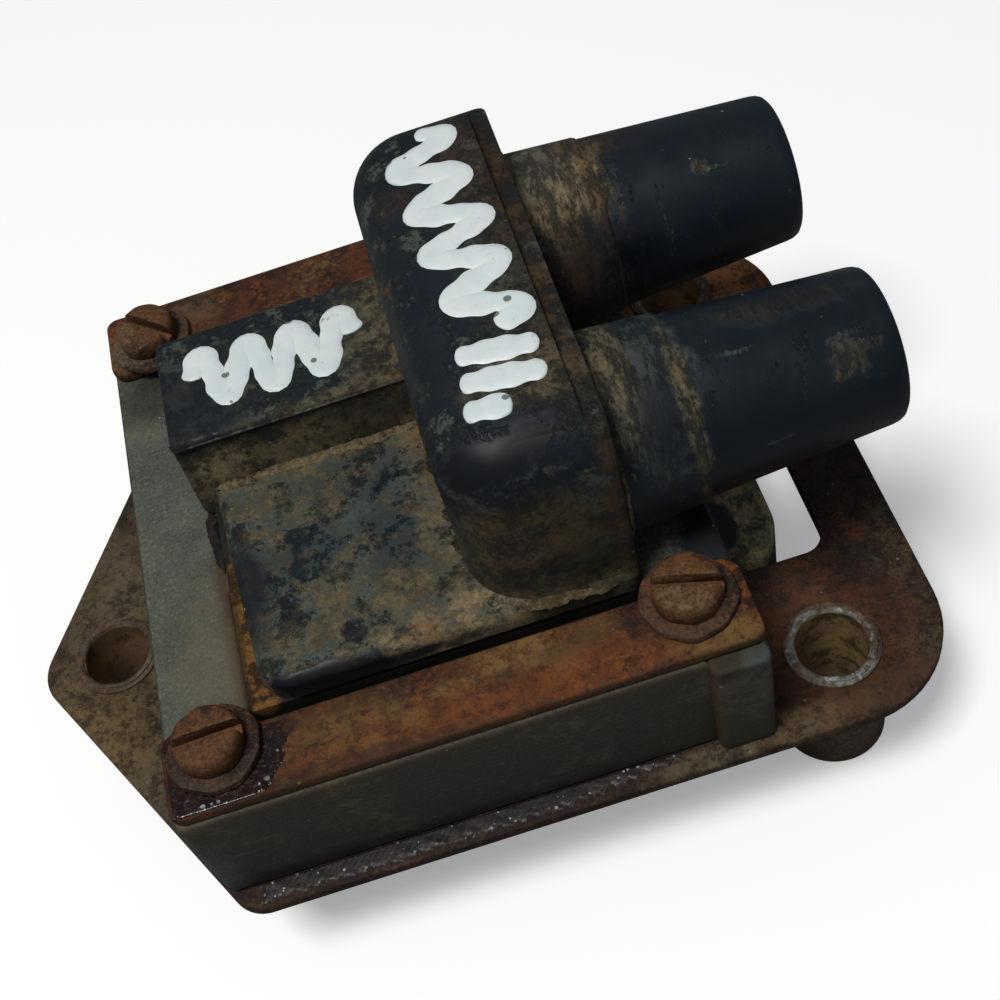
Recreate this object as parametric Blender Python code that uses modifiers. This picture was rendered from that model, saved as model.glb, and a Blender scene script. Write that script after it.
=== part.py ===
"""Ignition coil: laminated core on a steel mounting plate, moulded housing with two high-tension towers.

Frame: +X towards the tower mouths, +Y to the rear, +Z up. The origin is the middle of the footprint,
level with the feet of the three mounting sleeves. All the sizes below are in millimetres.
"""
import math

import bpy
import bmesh
from mathutils import Matrix, Vector

mm = 0.001
gap = 0.3

# Mounting plate and its sleeves
plateTop = 20.4
plateThickness = 1.8
plateHalfWidth = 44.0
plateRight = 60.2
plateFrontLeft = -36.3
lugTip = -61.19
windowLeft = -26.8
windowRight = 50.1
windowHalfWidth = 19.8
sleeveRadius = 7.2
sleeveNeckRadius = 5.6
sleeveRimRadius = 6.3
sleeveBoreRadius = 4.75
sleevePlaces = {"left": (-49.3, 0.3), "front_right": (45.0, -32.8), "rear_right": (45.0, 33.8)}

# Laminated core
coreLeft = -38.2
coreLength = 72.4
coreWidth = 84.6
coreOffset = 1.6
coreHeight = 19.8
legWidth = 11.4
barTabReach = 1.8
barTabWidth = 7.4

# Clamp strips and screws
stripThickness = 1.6
stripWidth = 9.6
stripEarReach = 12.2
stripSetback = 0.4
earLength = 11.5
screwX = (-31.3, 27.3)
screwY = 34.4
headRadius = 4.25
headHeight = 3.0
shankRadius = 2.4
clearRadius = 2.75
washerRadius = 6.0
washerThickness = 0.9
slotWidth = 1.2
slotDepth = 1.4
slotAngles = {"front_left": 2, "front_right": -17, "rear_left": -42, "rear_right": 60}
nutAcrossFlats = 8.0
nutHeight = 4.0

# Moulded housing
bodyHalfWidth = 30.5
deckTop = 45.7
deckLeft = -26.2
blockLeft = 3.5
blockRight = 23.1
blockTop = 71.9
blockHalfWidth = 30.0
blockLedge = 1.4
blockEdge = 7.0
towerY = 16.5
towerZ = 55.0
towerEnd = 57.9
towerRootRadius = 12.0
towerEndRadius = 9.5
collarEnd = 33.3
socketRadius = 6.5
socketFloor = 33.0
connectorLeft = -28.2
connectorFront = 1.7
connectorRear = 21.5
connectorTop = 54.4
connectorFloor = -14.1
bladeZ = 49.2
cupBottom = 6.0
cupHalfWidth = 19.1
cupRight = 45.4
resinDepth = 7.2

# Windings
bobbinWall = 0.8
primaryThickness = 1.7
secondaryThickness = 3.7
windingLeft = -24.3
windingSplit = 4.5
windingRight = 19.6

coreBottom = plateTop + gap
coreTop = coreBottom + coreHeight
coreRight = coreLeft + coreLength
coreMiddle = (coreBottom + coreTop) / 2
plateBottom = plateTop - plateThickness
yokeInner = coreLeft + legWidth
barLeft = coreRight - legWidth - 0.4
legEnd = barLeft - gap
bodyBottom = coreTop + gap
stripBottom = coreTop + gap
stripTop = stripBottom + stripThickness
washerBottom = stripTop + gap
headBottom = washerBottom + washerThickness + gap

for item in list(bpy.data.objects):
    bpy.data.objects.remove(item, do_unlink=True)


def makeCollection(name):
    collection = bpy.data.collections.new(name)
    bpy.context.scene.collection.children.link(collection)
    return collection


parts = makeCollection("ignition_coil")
cutters = makeCollection("cutters")


def makeMaterial(name, colour, roughness, metallic):
    material = bpy.data.materials.new(name)
    material.use_nodes = True
    shader = material.node_tree.nodes["Principled BSDF"]
    shader.inputs["Base Color"].default_value = (*colour, 1.0)
    shader.inputs["Roughness"].default_value = roughness
    shader.inputs["Metallic"].default_value = metallic
    return material


looks = {
    "rust": ((0.15, 0.055, 0.025), 0.75, 0.3),
    "zinc": ((0.30, 0.27, 0.22), 0.55, 0.8),
    "paint": ((0.16, 0.16, 0.13), 0.6, 0.2),
    "plastic": ((0.015, 0.017, 0.02), 0.35, 0.0),
    "amber": ((0.35, 0.22, 0.08), 0.5, 0.0),
    "resin": ((0.05, 0.03, 0.02), 0.3, 0.0),
    "copper": ((0.50, 0.20, 0.08), 0.35, 0.9),
    "brass": ((0.55, 0.40, 0.14), 0.3, 1.0),
    "card": ((0.35, 0.25, 0.12), 0.85, 0.0),
}


def finish(part, name, look):
    """Names a shape as one node of the part and gives it its own material."""
    part.name = name
    part.data.name = name
    part.data.materials.clear()
    part.data.materials.append(makeMaterial(name, *looks[look]))
    part.data.shade_smooth()
    part.data.set_sharp_from_angle(angle=math.radians(35))
    return part


def addMesh(name, bm, collection):
    mesh = bpy.data.meshes.new(name)
    bmesh.ops.recalc_face_normals(bm, faces=bm.faces)
    bm.to_mesh(mesh)
    bm.free()
    item = bpy.data.objects.new(name, mesh)
    collection.objects.link(item)
    if collection is cutters:
        item.hide_render = True
        item.display_type = "WIRE"
    return item


def box(name, low, high, collection=cutters):
    """A box between two corners, centred on its own origin."""
    size = [(b - a) * mm for a, b in zip(low, high)]
    middle = [(a + b) / 2 * mm for a, b in zip(low, high)]
    bm = bmesh.new()
    bmesh.ops.create_cube(bm, size=1.0, matrix=Matrix.Diagonal((*size, 1.0)))
    item = addMesh(name, bm, collection)
    item.location = middle
    return item


def cylinder(name, radius, low, high, centre, collection=cutters, sides=32):
    """An upright cylinder on the point centre, from height low to height high."""
    bm = bmesh.new()
    bmesh.ops.create_cone(bm, cap_ends=True, segments=sides, radius1=radius * mm, radius2=radius * mm,
                          depth=(high - low) * mm)
    item = addMesh(name, bm, collection)
    item.location = (centre[0] * mm, centre[1] * mm, (low + high) / 2 * mm)
    return item


def roundedOutline(corners, steps=4):
    """Replaces each corner (x, y, radius) of a closed outline by an arc of that radius."""
    points = []
    count = len(corners)
    for i, (x, y, radius) in enumerate(corners):
        corner = Vector((x, y))
        before = Vector(corners[i - 1][:2]) - corner
        after = Vector(corners[(i + 1) % count][:2]) - corner
        if radius <= 0:
            points.append(corner)
            continue
        half = before.angle(after) / 2
        reach = radius / math.tan(half)
        start = corner + before.normalized() * reach
        stop = corner + after.normalized() * reach
        centre = corner + (before.normalized() + after.normalized()).normalized() * radius / math.sin(half)
        sweep = (start - centre).angle_signed(stop - centre)
        for k in range(steps + 1):
            turn = Matrix.Rotation(-sweep * k / steps, 2)
            points.append(centre + turn @ (start - centre))
    return points


def slab(name, corners, low, high, collection=cutters, steps=4):
    """A flat plate: an outline with rounded corners, drawn up from height low to height high."""
    bm = bmesh.new()
    half = (high - low) / 2 * mm
    floor = bm.faces.new([bm.verts.new((point.x * mm, point.y * mm, -half))
                          for point in roundedOutline(corners, steps)])
    raised = bmesh.ops.extrude_face_region(bm, geom=[floor], use_keep_orig=True)
    bmesh.ops.translate(bm, vec=(0.0, 0.0, 2 * half),
                        verts=[item for item in raised["geom"] if isinstance(item, bmesh.types.BMVert)])
    item = addMesh(name, bm, collection)
    item.location.z = (low + high) / 2 * mm
    return item


def turned(name, profile, collection=cutters, sides=32):
    """A turned solid: a profile of (radius, height) points, running down its outer side, about the Z axis."""
    mesh = bpy.data.meshes.new(name)
    points = [(radius * mm, 0.0, height * mm) for radius, height in profile]
    edges = [(i, i + 1) for i in range(len(points) - 1)]
    if profile[0][0] > 0:
        edges.append((len(points) - 1, 0))
    mesh.from_pydata(points, edges, [])
    item = bpy.data.objects.new(name, mesh)
    collection.objects.link(item)
    if collection is cutters:
        item.hide_render = True
        item.display_type = "WIRE"
    screw = item.modifiers.new("turn", "SCREW")
    screw.steps = sides
    screw.render_steps = sides
    screw.use_merge_vertices = True
    screw.merge_threshold = 0.000005
    return item


def combine(item, others, operation):
    for other in others:
        modifier = item.modifiers.new(operation.lower() + "_" + other.name, "BOOLEAN")
        modifier.operation = operation
        modifier.object = other
        modifier.solver = "EXACT"


def cut(item, others):
    combine(item, others, "DIFFERENCE")


def join(item, others):
    combine(item, others, "UNION")


def bevelAlong(item, width, segments, wanted):
    """Rounds the edges of a mesh whose two end points both pass the test wanted, in millimetres."""
    bm = bmesh.new()
    bm.from_mesh(item.data)
    place = item.location
    chosen = [edge for edge in bm.edges
              if all(wanted((vert.co + place) / mm) for vert in edge.verts)]
    bmesh.ops.bevel(bm, geom=chosen, offset=width * mm, segments=segments, profile=0.5, affect="EDGES")
    bm.to_mesh(item.data)
    bm.free()


def mirrored(corners):
    """The outline of the rear copy of a front piece, run the other way so that it stays the right way out."""
    return [(x, -y, radius) for x, y, radius in reversed(corners)]


def onCore(item):
    """Moves a piece that was made about y = 0 to the core, which stands off the plate's middle line."""
    item.location.y += coreOffset * mm
    return item


# Mounting plate: a pointed lug with one hole at the left, a square end with two at the right, one window
plate = slab("base_plate", [
    (lugTip, 0.0, 6.7),
    (plateFrontLeft, -plateHalfWidth, 5.0),
    (plateRight, -plateHalfWidth, 14.5),
    (plateRight, plateHalfWidth, 14.5),
    (plateFrontLeft, plateHalfWidth, 5.0),
], plateBottom, plateTop, parts, steps=6)
window = slab("plate_window", [
    (windowLeft, -windowHalfWidth, 1.0),
    (windowRight, -windowHalfWidth, 3.0),
    (windowRight, windowHalfWidth, 3.0),
    (windowLeft, windowHalfWidth, 1.0),
], plateBottom - 1, plateTop + 1)
onCore(window)
plateHoles = [cylinder("hole_" + name, sleeveNeckRadius + gap, plateBottom - 1, plateTop + 1, place)
              for name, place in sleevePlaces.items()]
screwPlaces = {
    "front_left": (screwX[0], coreOffset - screwY),
    "front_right": (screwX[1], coreOffset - screwY),
    "rear_left": (screwX[0], coreOffset + screwY),
    "rear_right": (screwX[1], coreOffset + screwY),
}
screwHoles = {name: cylinder("clear_" + name, clearRadius, 0, 60, place, sides=24)
              for name, place in screwPlaces.items()}
cut(plate, [window, *plateHoles, *screwHoles.values()])
finish(plate, "base_plate", "rust")

# Sleeves: a wide spacer under the plate, a neck through it and a rim swaged over its top
for name, place in sleevePlaces.items():
    sleeve = turned("mounting_sleeve_" + name, [
        (sleeveBoreRadius, plateTop + 0.7),
        (sleeveBoreRadius + 0.4, plateTop + 1.0),
        (sleeveRimRadius - 0.4, plateTop + 1.0),
        (sleeveRimRadius, plateTop + 0.7),
        (sleeveRimRadius, plateTop + gap),
        (sleeveNeckRadius, plateTop + gap),
        (sleeveNeckRadius, plateBottom - gap),
        (sleeveRadius, plateBottom - gap),
        (sleeveRadius, 0.5),
        (sleeveRadius - 0.5, 0.0),
        (sleeveBoreRadius, 0.0),
    ], parts, sides=40)
    sleeve.location = (place[0] * mm, place[1] * mm, 0.0)
    finish(sleeve, "mounting_sleeve_" + name, "zinc")

# Core: an E stack whose middle leg goes through the windings, and the bar that closes it
halfCore = coreWidth / 2
stack = slab("core_e_stack", [
    (coreLeft, -halfCore, 0.8),
    (legEnd, -halfCore, 0),
    (legEnd, -halfCore + legWidth, 0),
    (yokeInner, -halfCore + legWidth, 0),
    (yokeInner, -legWidth, 0),
    (legEnd - 0.6 - gap, -legWidth, 0),
    (legEnd - 0.6 - gap, legWidth, 0),
    (yokeInner, legWidth, 0),
    (yokeInner, halfCore - legWidth, 0),
    (legEnd, halfCore - legWidth, 0),
    (legEnd, halfCore, 0),
    (coreLeft, halfCore, 0.8),
], coreBottom, coreTop, parts)
cut(stack, [screwHoles["front_left"], screwHoles["rear_left"]])
finish(onCore(stack), "core_e_stack", "paint")

barReach = halfCore + barTabReach
tabLeft = coreRight - barTabWidth
bar = slab("core_i_bar", [
    (barLeft, -halfCore, 0),
    (tabLeft, -halfCore, 0),
    (tabLeft, -barReach, 1.6),
    (coreRight, -barReach, 1.6),
    (coreRight, halfCore, 0.8),
    (barLeft, halfCore, 0),
], coreBottom, coreTop, parts)
cut(bar, [screwHoles["front_right"], screwHoles["rear_right"]])
finish(onCore(bar), "core_i_bar", "paint")

shim = box("core_gap_shim", (legEnd - 0.6, -legWidth, coreBottom + 0.5), (legEnd, legWidth, coreTop - 0.5), parts)
finish(onCore(shim), "core_gap_shim", "card")

# Clamp strips: one along each outer leg, wider at the screws
stripLeft = coreLeft + 0.2
stripRight = coreRight + 0.2
outer = -halfCore + stripSetback
inner = outer + stripWidth
ear = -halfCore + stripEarReach
frontStrip = [
    (stripLeft, outer, 1.6),
    (stripRight, outer, 1.6),
    (stripRight, ear, 2.2),
    (stripRight - earLength + 1.2, ear, 1.6),
    (stripRight - earLength - 1.2, inner, 1.0),
    (stripLeft + earLength + 1.2, inner, 1.0),
    (stripLeft + earLength - 1.2, ear, 1.6),
    (stripLeft, ear, 2.2),
]
for name, outline in (("front", frontStrip), ("rear", mirrored(frontStrip))):
    strip = slab("clamp_strip_" + name, outline, stripBottom, stripTop, parts)
    cut(strip, [screwHoles[name + "_left"], screwHoles[name + "_right"]])
    finish(onCore(strip), "clamp_strip_" + name, "rust")

# Screws: slotted cheese heads on washers, with hexagon nuts below the plate
headTop = headBottom + headHeight
nutTop = plateBottom - gap
for name, (x, y) in screwPlaces.items():
    screw = turned("screw_" + name, [
        (0.0, headTop),
        (headRadius - 0.5, headTop),
        (headRadius - 0.1, headTop - 0.4),
        (headRadius, headBottom),
        (shankRadius, headBottom),
        (shankRadius, nutTop - nutHeight - 1.8),
        (shankRadius - 0.5, nutTop - nutHeight - 2.3),
        (0.0, nutTop - nutHeight - 2.3),
    ], parts)
    screw.location = (x * mm, y * mm, 0.0)
    slot = box("slot_" + name, (-6, -slotWidth / 2, headTop - slotDepth), (6, slotWidth / 2, headTop + 2))
    slot.location = (x * mm, y * mm, slot.location.z)
    slot.rotation_euler.z = math.radians(slotAngles[name])
    cut(screw, [slot])
    finish(screw, "screw_" + name, "rust")

    washer = turned("washer_" + name, [
        (clearRadius, washerBottom + washerThickness),
        (washerRadius - 0.2, washerBottom + washerThickness),
        (washerRadius, washerBottom + washerThickness - 0.2),
        (washerRadius, washerBottom),
        (clearRadius, washerBottom),
    ], parts)
    washer.location = (x * mm, y * mm, 0.0)
    finish(washer, "washer_" + name, "rust")

    bm = bmesh.new()
    bmesh.ops.create_cone(bm, cap_ends=True, segments=6, depth=nutHeight * mm,
                          radius1=nutAcrossFlats / math.sqrt(3) * mm, radius2=nutAcrossFlats / math.sqrt(3) * mm)
    nut = addMesh("nut_" + name, bm, parts)
    nut.location = (x * mm, y * mm, (nutTop - nutHeight / 2) * mm)
    cut(nut, [screwHoles[name]])
    finish(nut, "nut_" + name, "zinc")

# Housing: a deck above the core, a block across it for the towers, a connector block and the winding cup
housing = box("coil_housing", (yokeInner + gap, -bodyHalfWidth, coreBottom),
              (legEnd - gap, bodyHalfWidth, deckTop - 2), parts)
deck = slab("deck", [
    (deckLeft, -bodyHalfWidth, 4.0),
    (blockRight, -bodyHalfWidth, 2.0),
    (blockRight, bodyHalfWidth, 2.0),
    (deckLeft, bodyHalfWidth, 4.0),
], bodyBottom, deckTop)
bevelAlong(deck, 1.6, 3, lambda p: p.z > deckTop - 0.01)

block = slab("tower_block", [
    (blockLeft, -blockHalfWidth, 8.5),
    (blockRight + 12, -blockHalfWidth, 0),
    (blockRight + 12, blockHalfWidth, 0),
    (blockLeft, blockHalfWidth, 8.5),
], bodyBottom, blockTop, steps=7)
bevelAlong(block, blockEdge, 5, lambda p: p.z > blockTop - 0.01)
blockEnd = box("block_end", (blockRight, -60, 0), (90, 60, 90))
ledge = box("block_ledge", (blockRight - 2.6, -60, blockTop - blockLedge), (90, 60, 90))
cut(block, [blockEnd, ledge])

connector = box("connector_block", (connectorLeft, connectorFront, bodyBottom),
                (blockLeft + 6, connectorRear, connectorTop))
bevelAlong(connector, 2.4, 3, lambda p: p.z > connectorTop - 0.01)

cup = slab("winding_cup", [
    (yokeInner + 2 * gap, -cupHalfWidth, 1.0),
    (cupRight, -cupHalfWidth, 8.0),
    (cupRight, cupHalfWidth, 8.0),
    (yokeInner + 2 * gap, cupHalfWidth, 1.0),
], cupBottom, plateTop - gap, steps=7)
cupNeck = box("cup_neck", (yokeInner + 2 * gap, -cupHalfWidth, plateTop - 2), (legEnd - gap, cupHalfWidth, coreBottom + 2))

shapes = [deck, block, connector, cup, cupNeck]
drafts = (towerRootRadius - towerEndRadius) / (towerEnd - blockRight)
for name, side in (("front", -1), ("rear", 1)):
    collarRadius = towerEndRadius + drafts * (towerEnd - collarEnd)
    tower = turned("tower_" + name, [
        (0.0, towerEnd),
        (towerEndRadius - 1.5, towerEnd),
        (towerEndRadius - 0.9, towerEnd - 0.15),
        (towerEndRadius - 0.3, towerEnd - 0.6),
        (towerEndRadius, towerEnd - 1.5),
        (collarRadius, collarEnd),
        (collarRadius + 0.35, collarEnd - 0.3),
        (towerRootRadius + 0.35, blockRight),
        (towerRootRadius + 0.35, blockLeft + 10),
        (0.0, blockLeft + 10),
    ], sides=48)
    tower.location = (0.0, side * towerY * mm, towerZ * mm)
    tower.rotation_euler.y = math.radians(90)
    shapes.append(tower)
join(housing, shapes)

hollows = [
    box("winding_space_left", (windingLeft - gap, -17.0, cupBottom - 1), (windingSplit + 1, 17.0, deckTop - 1.2)),
    box("winding_space_right", (windingSplit, -17.0, cupBottom - 1), (windingRight + gap, 17.0, deckTop + 1.7)),
    box("leg_way", (yokeInner - 1, -legWidth - gap, coreBottom - gap), (legEnd + 1, legWidth + gap, coreTop + gap)),
    slab("resin_space", [
        (windingLeft - gap, -17.0, 0.5),
        (cupRight - 1.6, -17.0, 6.4),
        (cupRight - 1.6, 17.0, 6.4),
        (windingLeft - gap, 17.0, 0.5),
    ], cupBottom - 1, cupBottom + resinDepth + 0.4),
    box("connector_socket", (connectorLeft - 1, connectorFront + 2.5, connectorTop - 8.5),
        (connectorFloor, connectorRear - 2.5, connectorTop - 1.8)),
]
bevelAlong(hollows[4], 0.8, 2, lambda p: True)
for side in (-1, 1):
    bore = turned("tower_bore", [
        (0.0, towerEnd + 1),
        (socketRadius, towerEnd + 1),
        (socketRadius, socketFloor),
        (2.8, socketFloor),
        (2.8, socketFloor - 4.5),
        (0.0, socketFloor - 4.5),
    ])
    bore.location = (0.0, side * towerY * mm, towerZ * mm)
    bore.rotation_euler.y = math.radians(90)
    hollows.append(bore)
bladePlaces = {"1": 8.2, "2": 15.0}
bladeRoots = [box("blade_root_" + name, (connectorFloor - 1, y - 1.9, bladeZ - 0.9),
                  (connectorFloor + 3.3, y + 1.9, bladeZ + 0.9))
              for name, y in bladePlaces.items()]
join(hollows[4], bladeRoots)
cut(housing, hollows)
for item in [housing, *shapes, *hollows, *bladeRoots]:
    onCore(item)
finish(housing, "coil_housing", "plastic")

# Terminals: a brass stud at the bottom of each tower and two blades in the connector
for name, side in (("front", -1), ("rear", 1)):
    stud = turned("tower_terminal_" + name, [
        (0.0, socketFloor + 5.5),
        (1.9, socketFloor + 5.5),
        (2.5, socketFloor + 4.9),
        (2.5, socketFloor - 4.2),
        (0.0, socketFloor - 4.2),
    ], parts, sides=24)
    stud.location = (0.0, side * towerY * mm, towerZ * mm)
    stud.rotation_euler.y = math.radians(90)
    finish(onCore(stud), "tower_terminal_" + name, "brass")
for name, y in bladePlaces.items():
    blade = box("connector_blade_" + name, (connectorFloor - 7, y - 1.6, bladeZ - 0.6),
                (connectorFloor + 3, y + 1.6, bladeZ + 0.6), parts)
    bevelAlong(blade, 0.3, 1, lambda p: p.x < connectorFloor - 6.9)
    finish(onCore(blade), "connector_blade_" + name, "brass")


def ringAroundLeg(name, left, right, inside, thickness, radius, collection=parts):
    """A rectangular ring about the middle leg; inside is its clearance from the leg."""
    reach = legWidth + inside
    rise = coreHeight / 2 + inside
    ring = box(name, (left, -reach - thickness, coreMiddle - rise - thickness),
               (right, reach + thickness, coreMiddle + rise + thickness), collection)
    if radius:
        bevelAlong(ring, radius, 3, lambda p: abs(p.x - left) < 0.01 or abs(p.x - right) < 0.01)
    core = box(name + "_inside", (left - 2, -reach, coreMiddle - rise), (right + 2, reach, coreMiddle + rise))
    return onCore(ring), onCore(core)


# Bobbin on the middle leg, with the primary on its left half and the secondary on its right half
bobbin, bore = ringAroundLeg("winding_bobbin", windingLeft, windingRight, gap, bobbinWall, 0.0)
for name, left, thickness in (
    ("left", windingLeft, 3.1),
    ("middle", windingSplit + 0.3, 3.1),
    ("right", windingRight - 1.0, 4.7),
):
    flange, unused = ringAroundLeg("flange_" + name, left, left + 1.0, gap, thickness, 0.0, cutters)
    join(bobbin, [flange])
cut(bobbin, [bore])
finish(bobbin, "winding_bobbin", "amber")

windings = (
    ("primary_winding", windingLeft + 1.0 + gap, windingSplit, primaryThickness),
    ("secondary_winding", windingSplit + 1.3 + gap, windingRight - 1.0 - gap, secondaryThickness),
)
for name, left, right, thickness in windings:
    winding, inside = ringAroundLeg(name, left, right, 2 * gap + bobbinWall, thickness, 0.5)
    cut(winding, [inside])
    finish(winding, name, "copper")

# Resin that closes the bottom of the cup
resin = slab("potting_resin", [
    (windingLeft, -17.0 + gap, 0.5),
    (cupRight - 1.6 - gap, -17.0 + gap, 6.1),
    (cupRight - 1.6 - gap, 17.0 - gap, 6.1),
    (windingLeft, 17.0 - gap, 0.5),
], cupBottom + 0.6, cupBottom + resinDepth, parts)
finish(onCore(resin), "potting_resin", "resin")
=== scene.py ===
import math

import bpy
import bmesh
import numpy as np
from mathutils import Matrix, Vector


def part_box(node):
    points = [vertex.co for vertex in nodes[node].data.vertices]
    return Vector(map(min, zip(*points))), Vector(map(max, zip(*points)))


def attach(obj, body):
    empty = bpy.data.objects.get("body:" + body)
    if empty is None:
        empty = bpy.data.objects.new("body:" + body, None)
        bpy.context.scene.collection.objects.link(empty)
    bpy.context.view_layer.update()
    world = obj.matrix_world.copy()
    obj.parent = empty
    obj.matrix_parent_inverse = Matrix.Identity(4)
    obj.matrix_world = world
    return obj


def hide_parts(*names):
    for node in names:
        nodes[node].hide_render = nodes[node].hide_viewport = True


# A used twin-tower ignition coil, all lengths in millimetres until they go into a mesh
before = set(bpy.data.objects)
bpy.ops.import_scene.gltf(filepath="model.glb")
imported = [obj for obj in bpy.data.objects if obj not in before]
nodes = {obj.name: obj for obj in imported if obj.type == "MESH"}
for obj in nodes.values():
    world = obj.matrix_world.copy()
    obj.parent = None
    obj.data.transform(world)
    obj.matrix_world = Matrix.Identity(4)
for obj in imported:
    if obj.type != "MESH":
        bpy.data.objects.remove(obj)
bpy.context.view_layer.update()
mm = 0.001
scene = bpy.context.scene
print("frame loaded:", len(nodes), "nodes")


def nodeBox(name):
    low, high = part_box(name)
    return np.array(low) / mm, np.array(high) / mm


plateLow, plateHigh = nodeBox("base_plate")
stackLow, stackHigh = nodeBox("core_e_stack")
barLow, barHigh = nodeBox("core_i_bar")
stripLow, stripHigh = nodeBox("clamp_strip_front")
housingLow, housingHigh = nodeBox("coil_housing")
plateTop, coreTop, stripTop = plateHigh[2], stackHigh[2], stripHigh[2]

# Camera and light
view = {"place": (9.3066, -120.9203, 190.7575), "lens": 52.536, "shift": (0.02712, 0.02189),
        "right": (0.951840, -0.236152, -0.195531), "down": (-0.305983, -0.771932, -0.557222),
        "ahead": (-0.019348, 0.590215, -0.807014)}
light = {"keyPlace": (-210, -200, 900), "keySize": 0.26, "keyPower": 5.6, "keyColour": (1.0, 0.985, 0.95),
         "skyStrength": 0.19, "skyColour": (0.86, 0.93, 1.0)}

camera = bpy.data.objects.new("camera", bpy.data.cameras.new("camera"))
scene.collection.objects.link(camera)
turn = np.array([view["right"], -np.array(view["down"]), -np.array(view["ahead"])]).T
camera.matrix_world = Matrix.Translation(Vector(view["place"]) * mm) @ Matrix(turn.tolist()).to_4x4()
camera.data.sensor_width = 36.0
camera.data.lens = view["lens"]
camera.data.shift_x, camera.data.shift_y = view["shift"]
camera.data.clip_start = 0.01
scene.camera = camera
scene.view_settings.view_transform = "Standard"

lamp = bpy.data.objects.new("key_light", bpy.data.lights.new("key_light", "AREA"))
lamp.data.size = light["keySize"]
lamp.data.energy = light["keyPower"]
lamp.data.color = light["keyColour"]
lamp.location = Vector(light["keyPlace"]) * mm
lamp.rotation_euler = (-lamp.location).to_track_quat("-Z", "Y").to_euler()
scene.collection.objects.link(lamp)
sky = bpy.data.worlds.new("studio")
sky.use_nodes = True
sky.node_tree.nodes["Background"].inputs["Color"].default_value = (*light["skyColour"], 1.0)
sky.node_tree.nodes["Background"].inputs["Strength"].default_value = light["skyStrength"]
scene.world = sky


# Shader helpers
def addNode(tree, kind, inputs=None, **settings):
    node = tree.nodes.new("ShaderNode" + kind)
    for key, value in settings.items():
        setattr(node, key, value)
    for key, value in (inputs or {}).items():
        socket = node.inputs[key]
        if isinstance(value, bpy.types.NodeSocket):
            tree.links.new(value, socket)
        elif socket.type == "RGBA" and len(value) == 3:
            socket.default_value = (*value, 1.0)
        else:
            socket.default_value = value
    return node


def calc(tree, operation, first, second=0.5, third=0.0):
    return addNode(tree, "Math", {0: first, 1: second, 2: third}, operation=operation).outputs[0]


def times(tree, first, second):
    return calc(tree, "MULTIPLY", first, second)


def plus(tree, first, second):
    return calc(tree, "ADD", first, second)


def minus(tree, first, second):
    return calc(tree, "SUBTRACT", first, second)


def blend(tree, share, first, second, kind="MIX"):
    return addNode(tree, "Mix", {0: share, 6: first, 7: second}, data_type="RGBA", blend_type=kind).outputs[2]


def between(tree, share, first, second):
    return addNode(tree, "Mix", {0: share, 2: first, 3: second}, data_type="FLOAT").outputs[0]


def rise(tree, value, low, high, start=0.0, stop=1.0):
    return addNode(tree, "MapRange", {"Value": value, "From Min": low, "From Max": high, "To Min": start,
                                      "To Max": stop}, interpolation_type="SMOOTHSTEP").outputs[0]


def noise(tree, vector, scale, detail=4.0, rough=0.55, bend=0.0):
    return addNode(tree, "TexNoise", {"Vector": vector, "Scale": scale, "Detail": detail, "Roughness": rough,
                                      "Distortion": bend}).outputs["Fac"]


def shift(tree, vector, by, operation="ADD"):
    return addNode(tree, "VectorMath", {0: vector, 1: by}, operation=operation).outputs[0]


def stretch(tree, vector, scale):
    return addNode(tree, "Mapping", {"Vector": vector, "Scale": scale}).outputs[0]


def parts(tree, vector):
    return addNode(tree, "SeparateXYZ", {0: vector}).outputs


def shaded(tree, colour, brightness):
    # The colour multiplied by a brightness
    grey = addNode(tree, "CombineColor", {0: brightness, 1: brightness, 2: brightness}).outputs[0]
    return blend(tree, 1.0, colour, grey, "MULTIPLY")


def newGroup(name, takes, gives):
    group = bpy.data.node_groups.new(name, "ShaderNodeTree")
    for label, kind, value in takes:
        socket = group.interface.new_socket(name=label, in_out="INPUT", socket_type="NodeSocket" + kind)
        if value is not None:
            socket.default_value = value
    for label, kind in gives:
        group.interface.new_socket(name=label, in_out="OUTPUT", socket_type="NodeSocket" + kind)
    return group, group.nodes.new("NodeGroupInput").outputs, group.nodes.new("NodeGroupOutput").inputs


def give(group, outlet, values):
    for label, socket in values.items():
        group.links.new(socket, outlet[label])


def useGroup(tree, group, inputs):
    return addNode(tree, "Group", inputs, node_tree=group).outputs


def maskOf(tree, group, inputs):
    return useGroup(tree, group, inputs)["Mask"]


# A blot: one soft, ragged-edged patch of dust or wear at a given place
blot, take, outlet = newGroup(
    "blot", [("Vector", "Vector", None), ("Centre", "Vector", None), ("Reach", "Vector", (1, 1, 1)),
             ("Ragged", "Float", 0.8), ("Grain", "Float", 300.0), ("Edge", "Float", 0.35)], [("Mask", "Float")])
away = shift(blot, take["Vector"], take["Centre"], "SUBTRACT")
away = shift(blot, away, take["Reach"], "DIVIDE")
away = addNode(blot, "VectorMath", {0: away}, operation="LENGTH").outputs["Value"]
ragged = minus(blot, noise(blot, take["Vector"], take["Grain"], 6.0, 0.68), 0.5)
ragged = times(blot, ragged, take["Ragged"])
away = plus(blot, away, times(blot, ragged, 2.0))
far, near = plus(blot, 1.0, take["Edge"]), minus(blot, 1.0, take["Edge"])
give(blot, outlet, {"Mask": rise(blot, away, far, near)})

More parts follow.
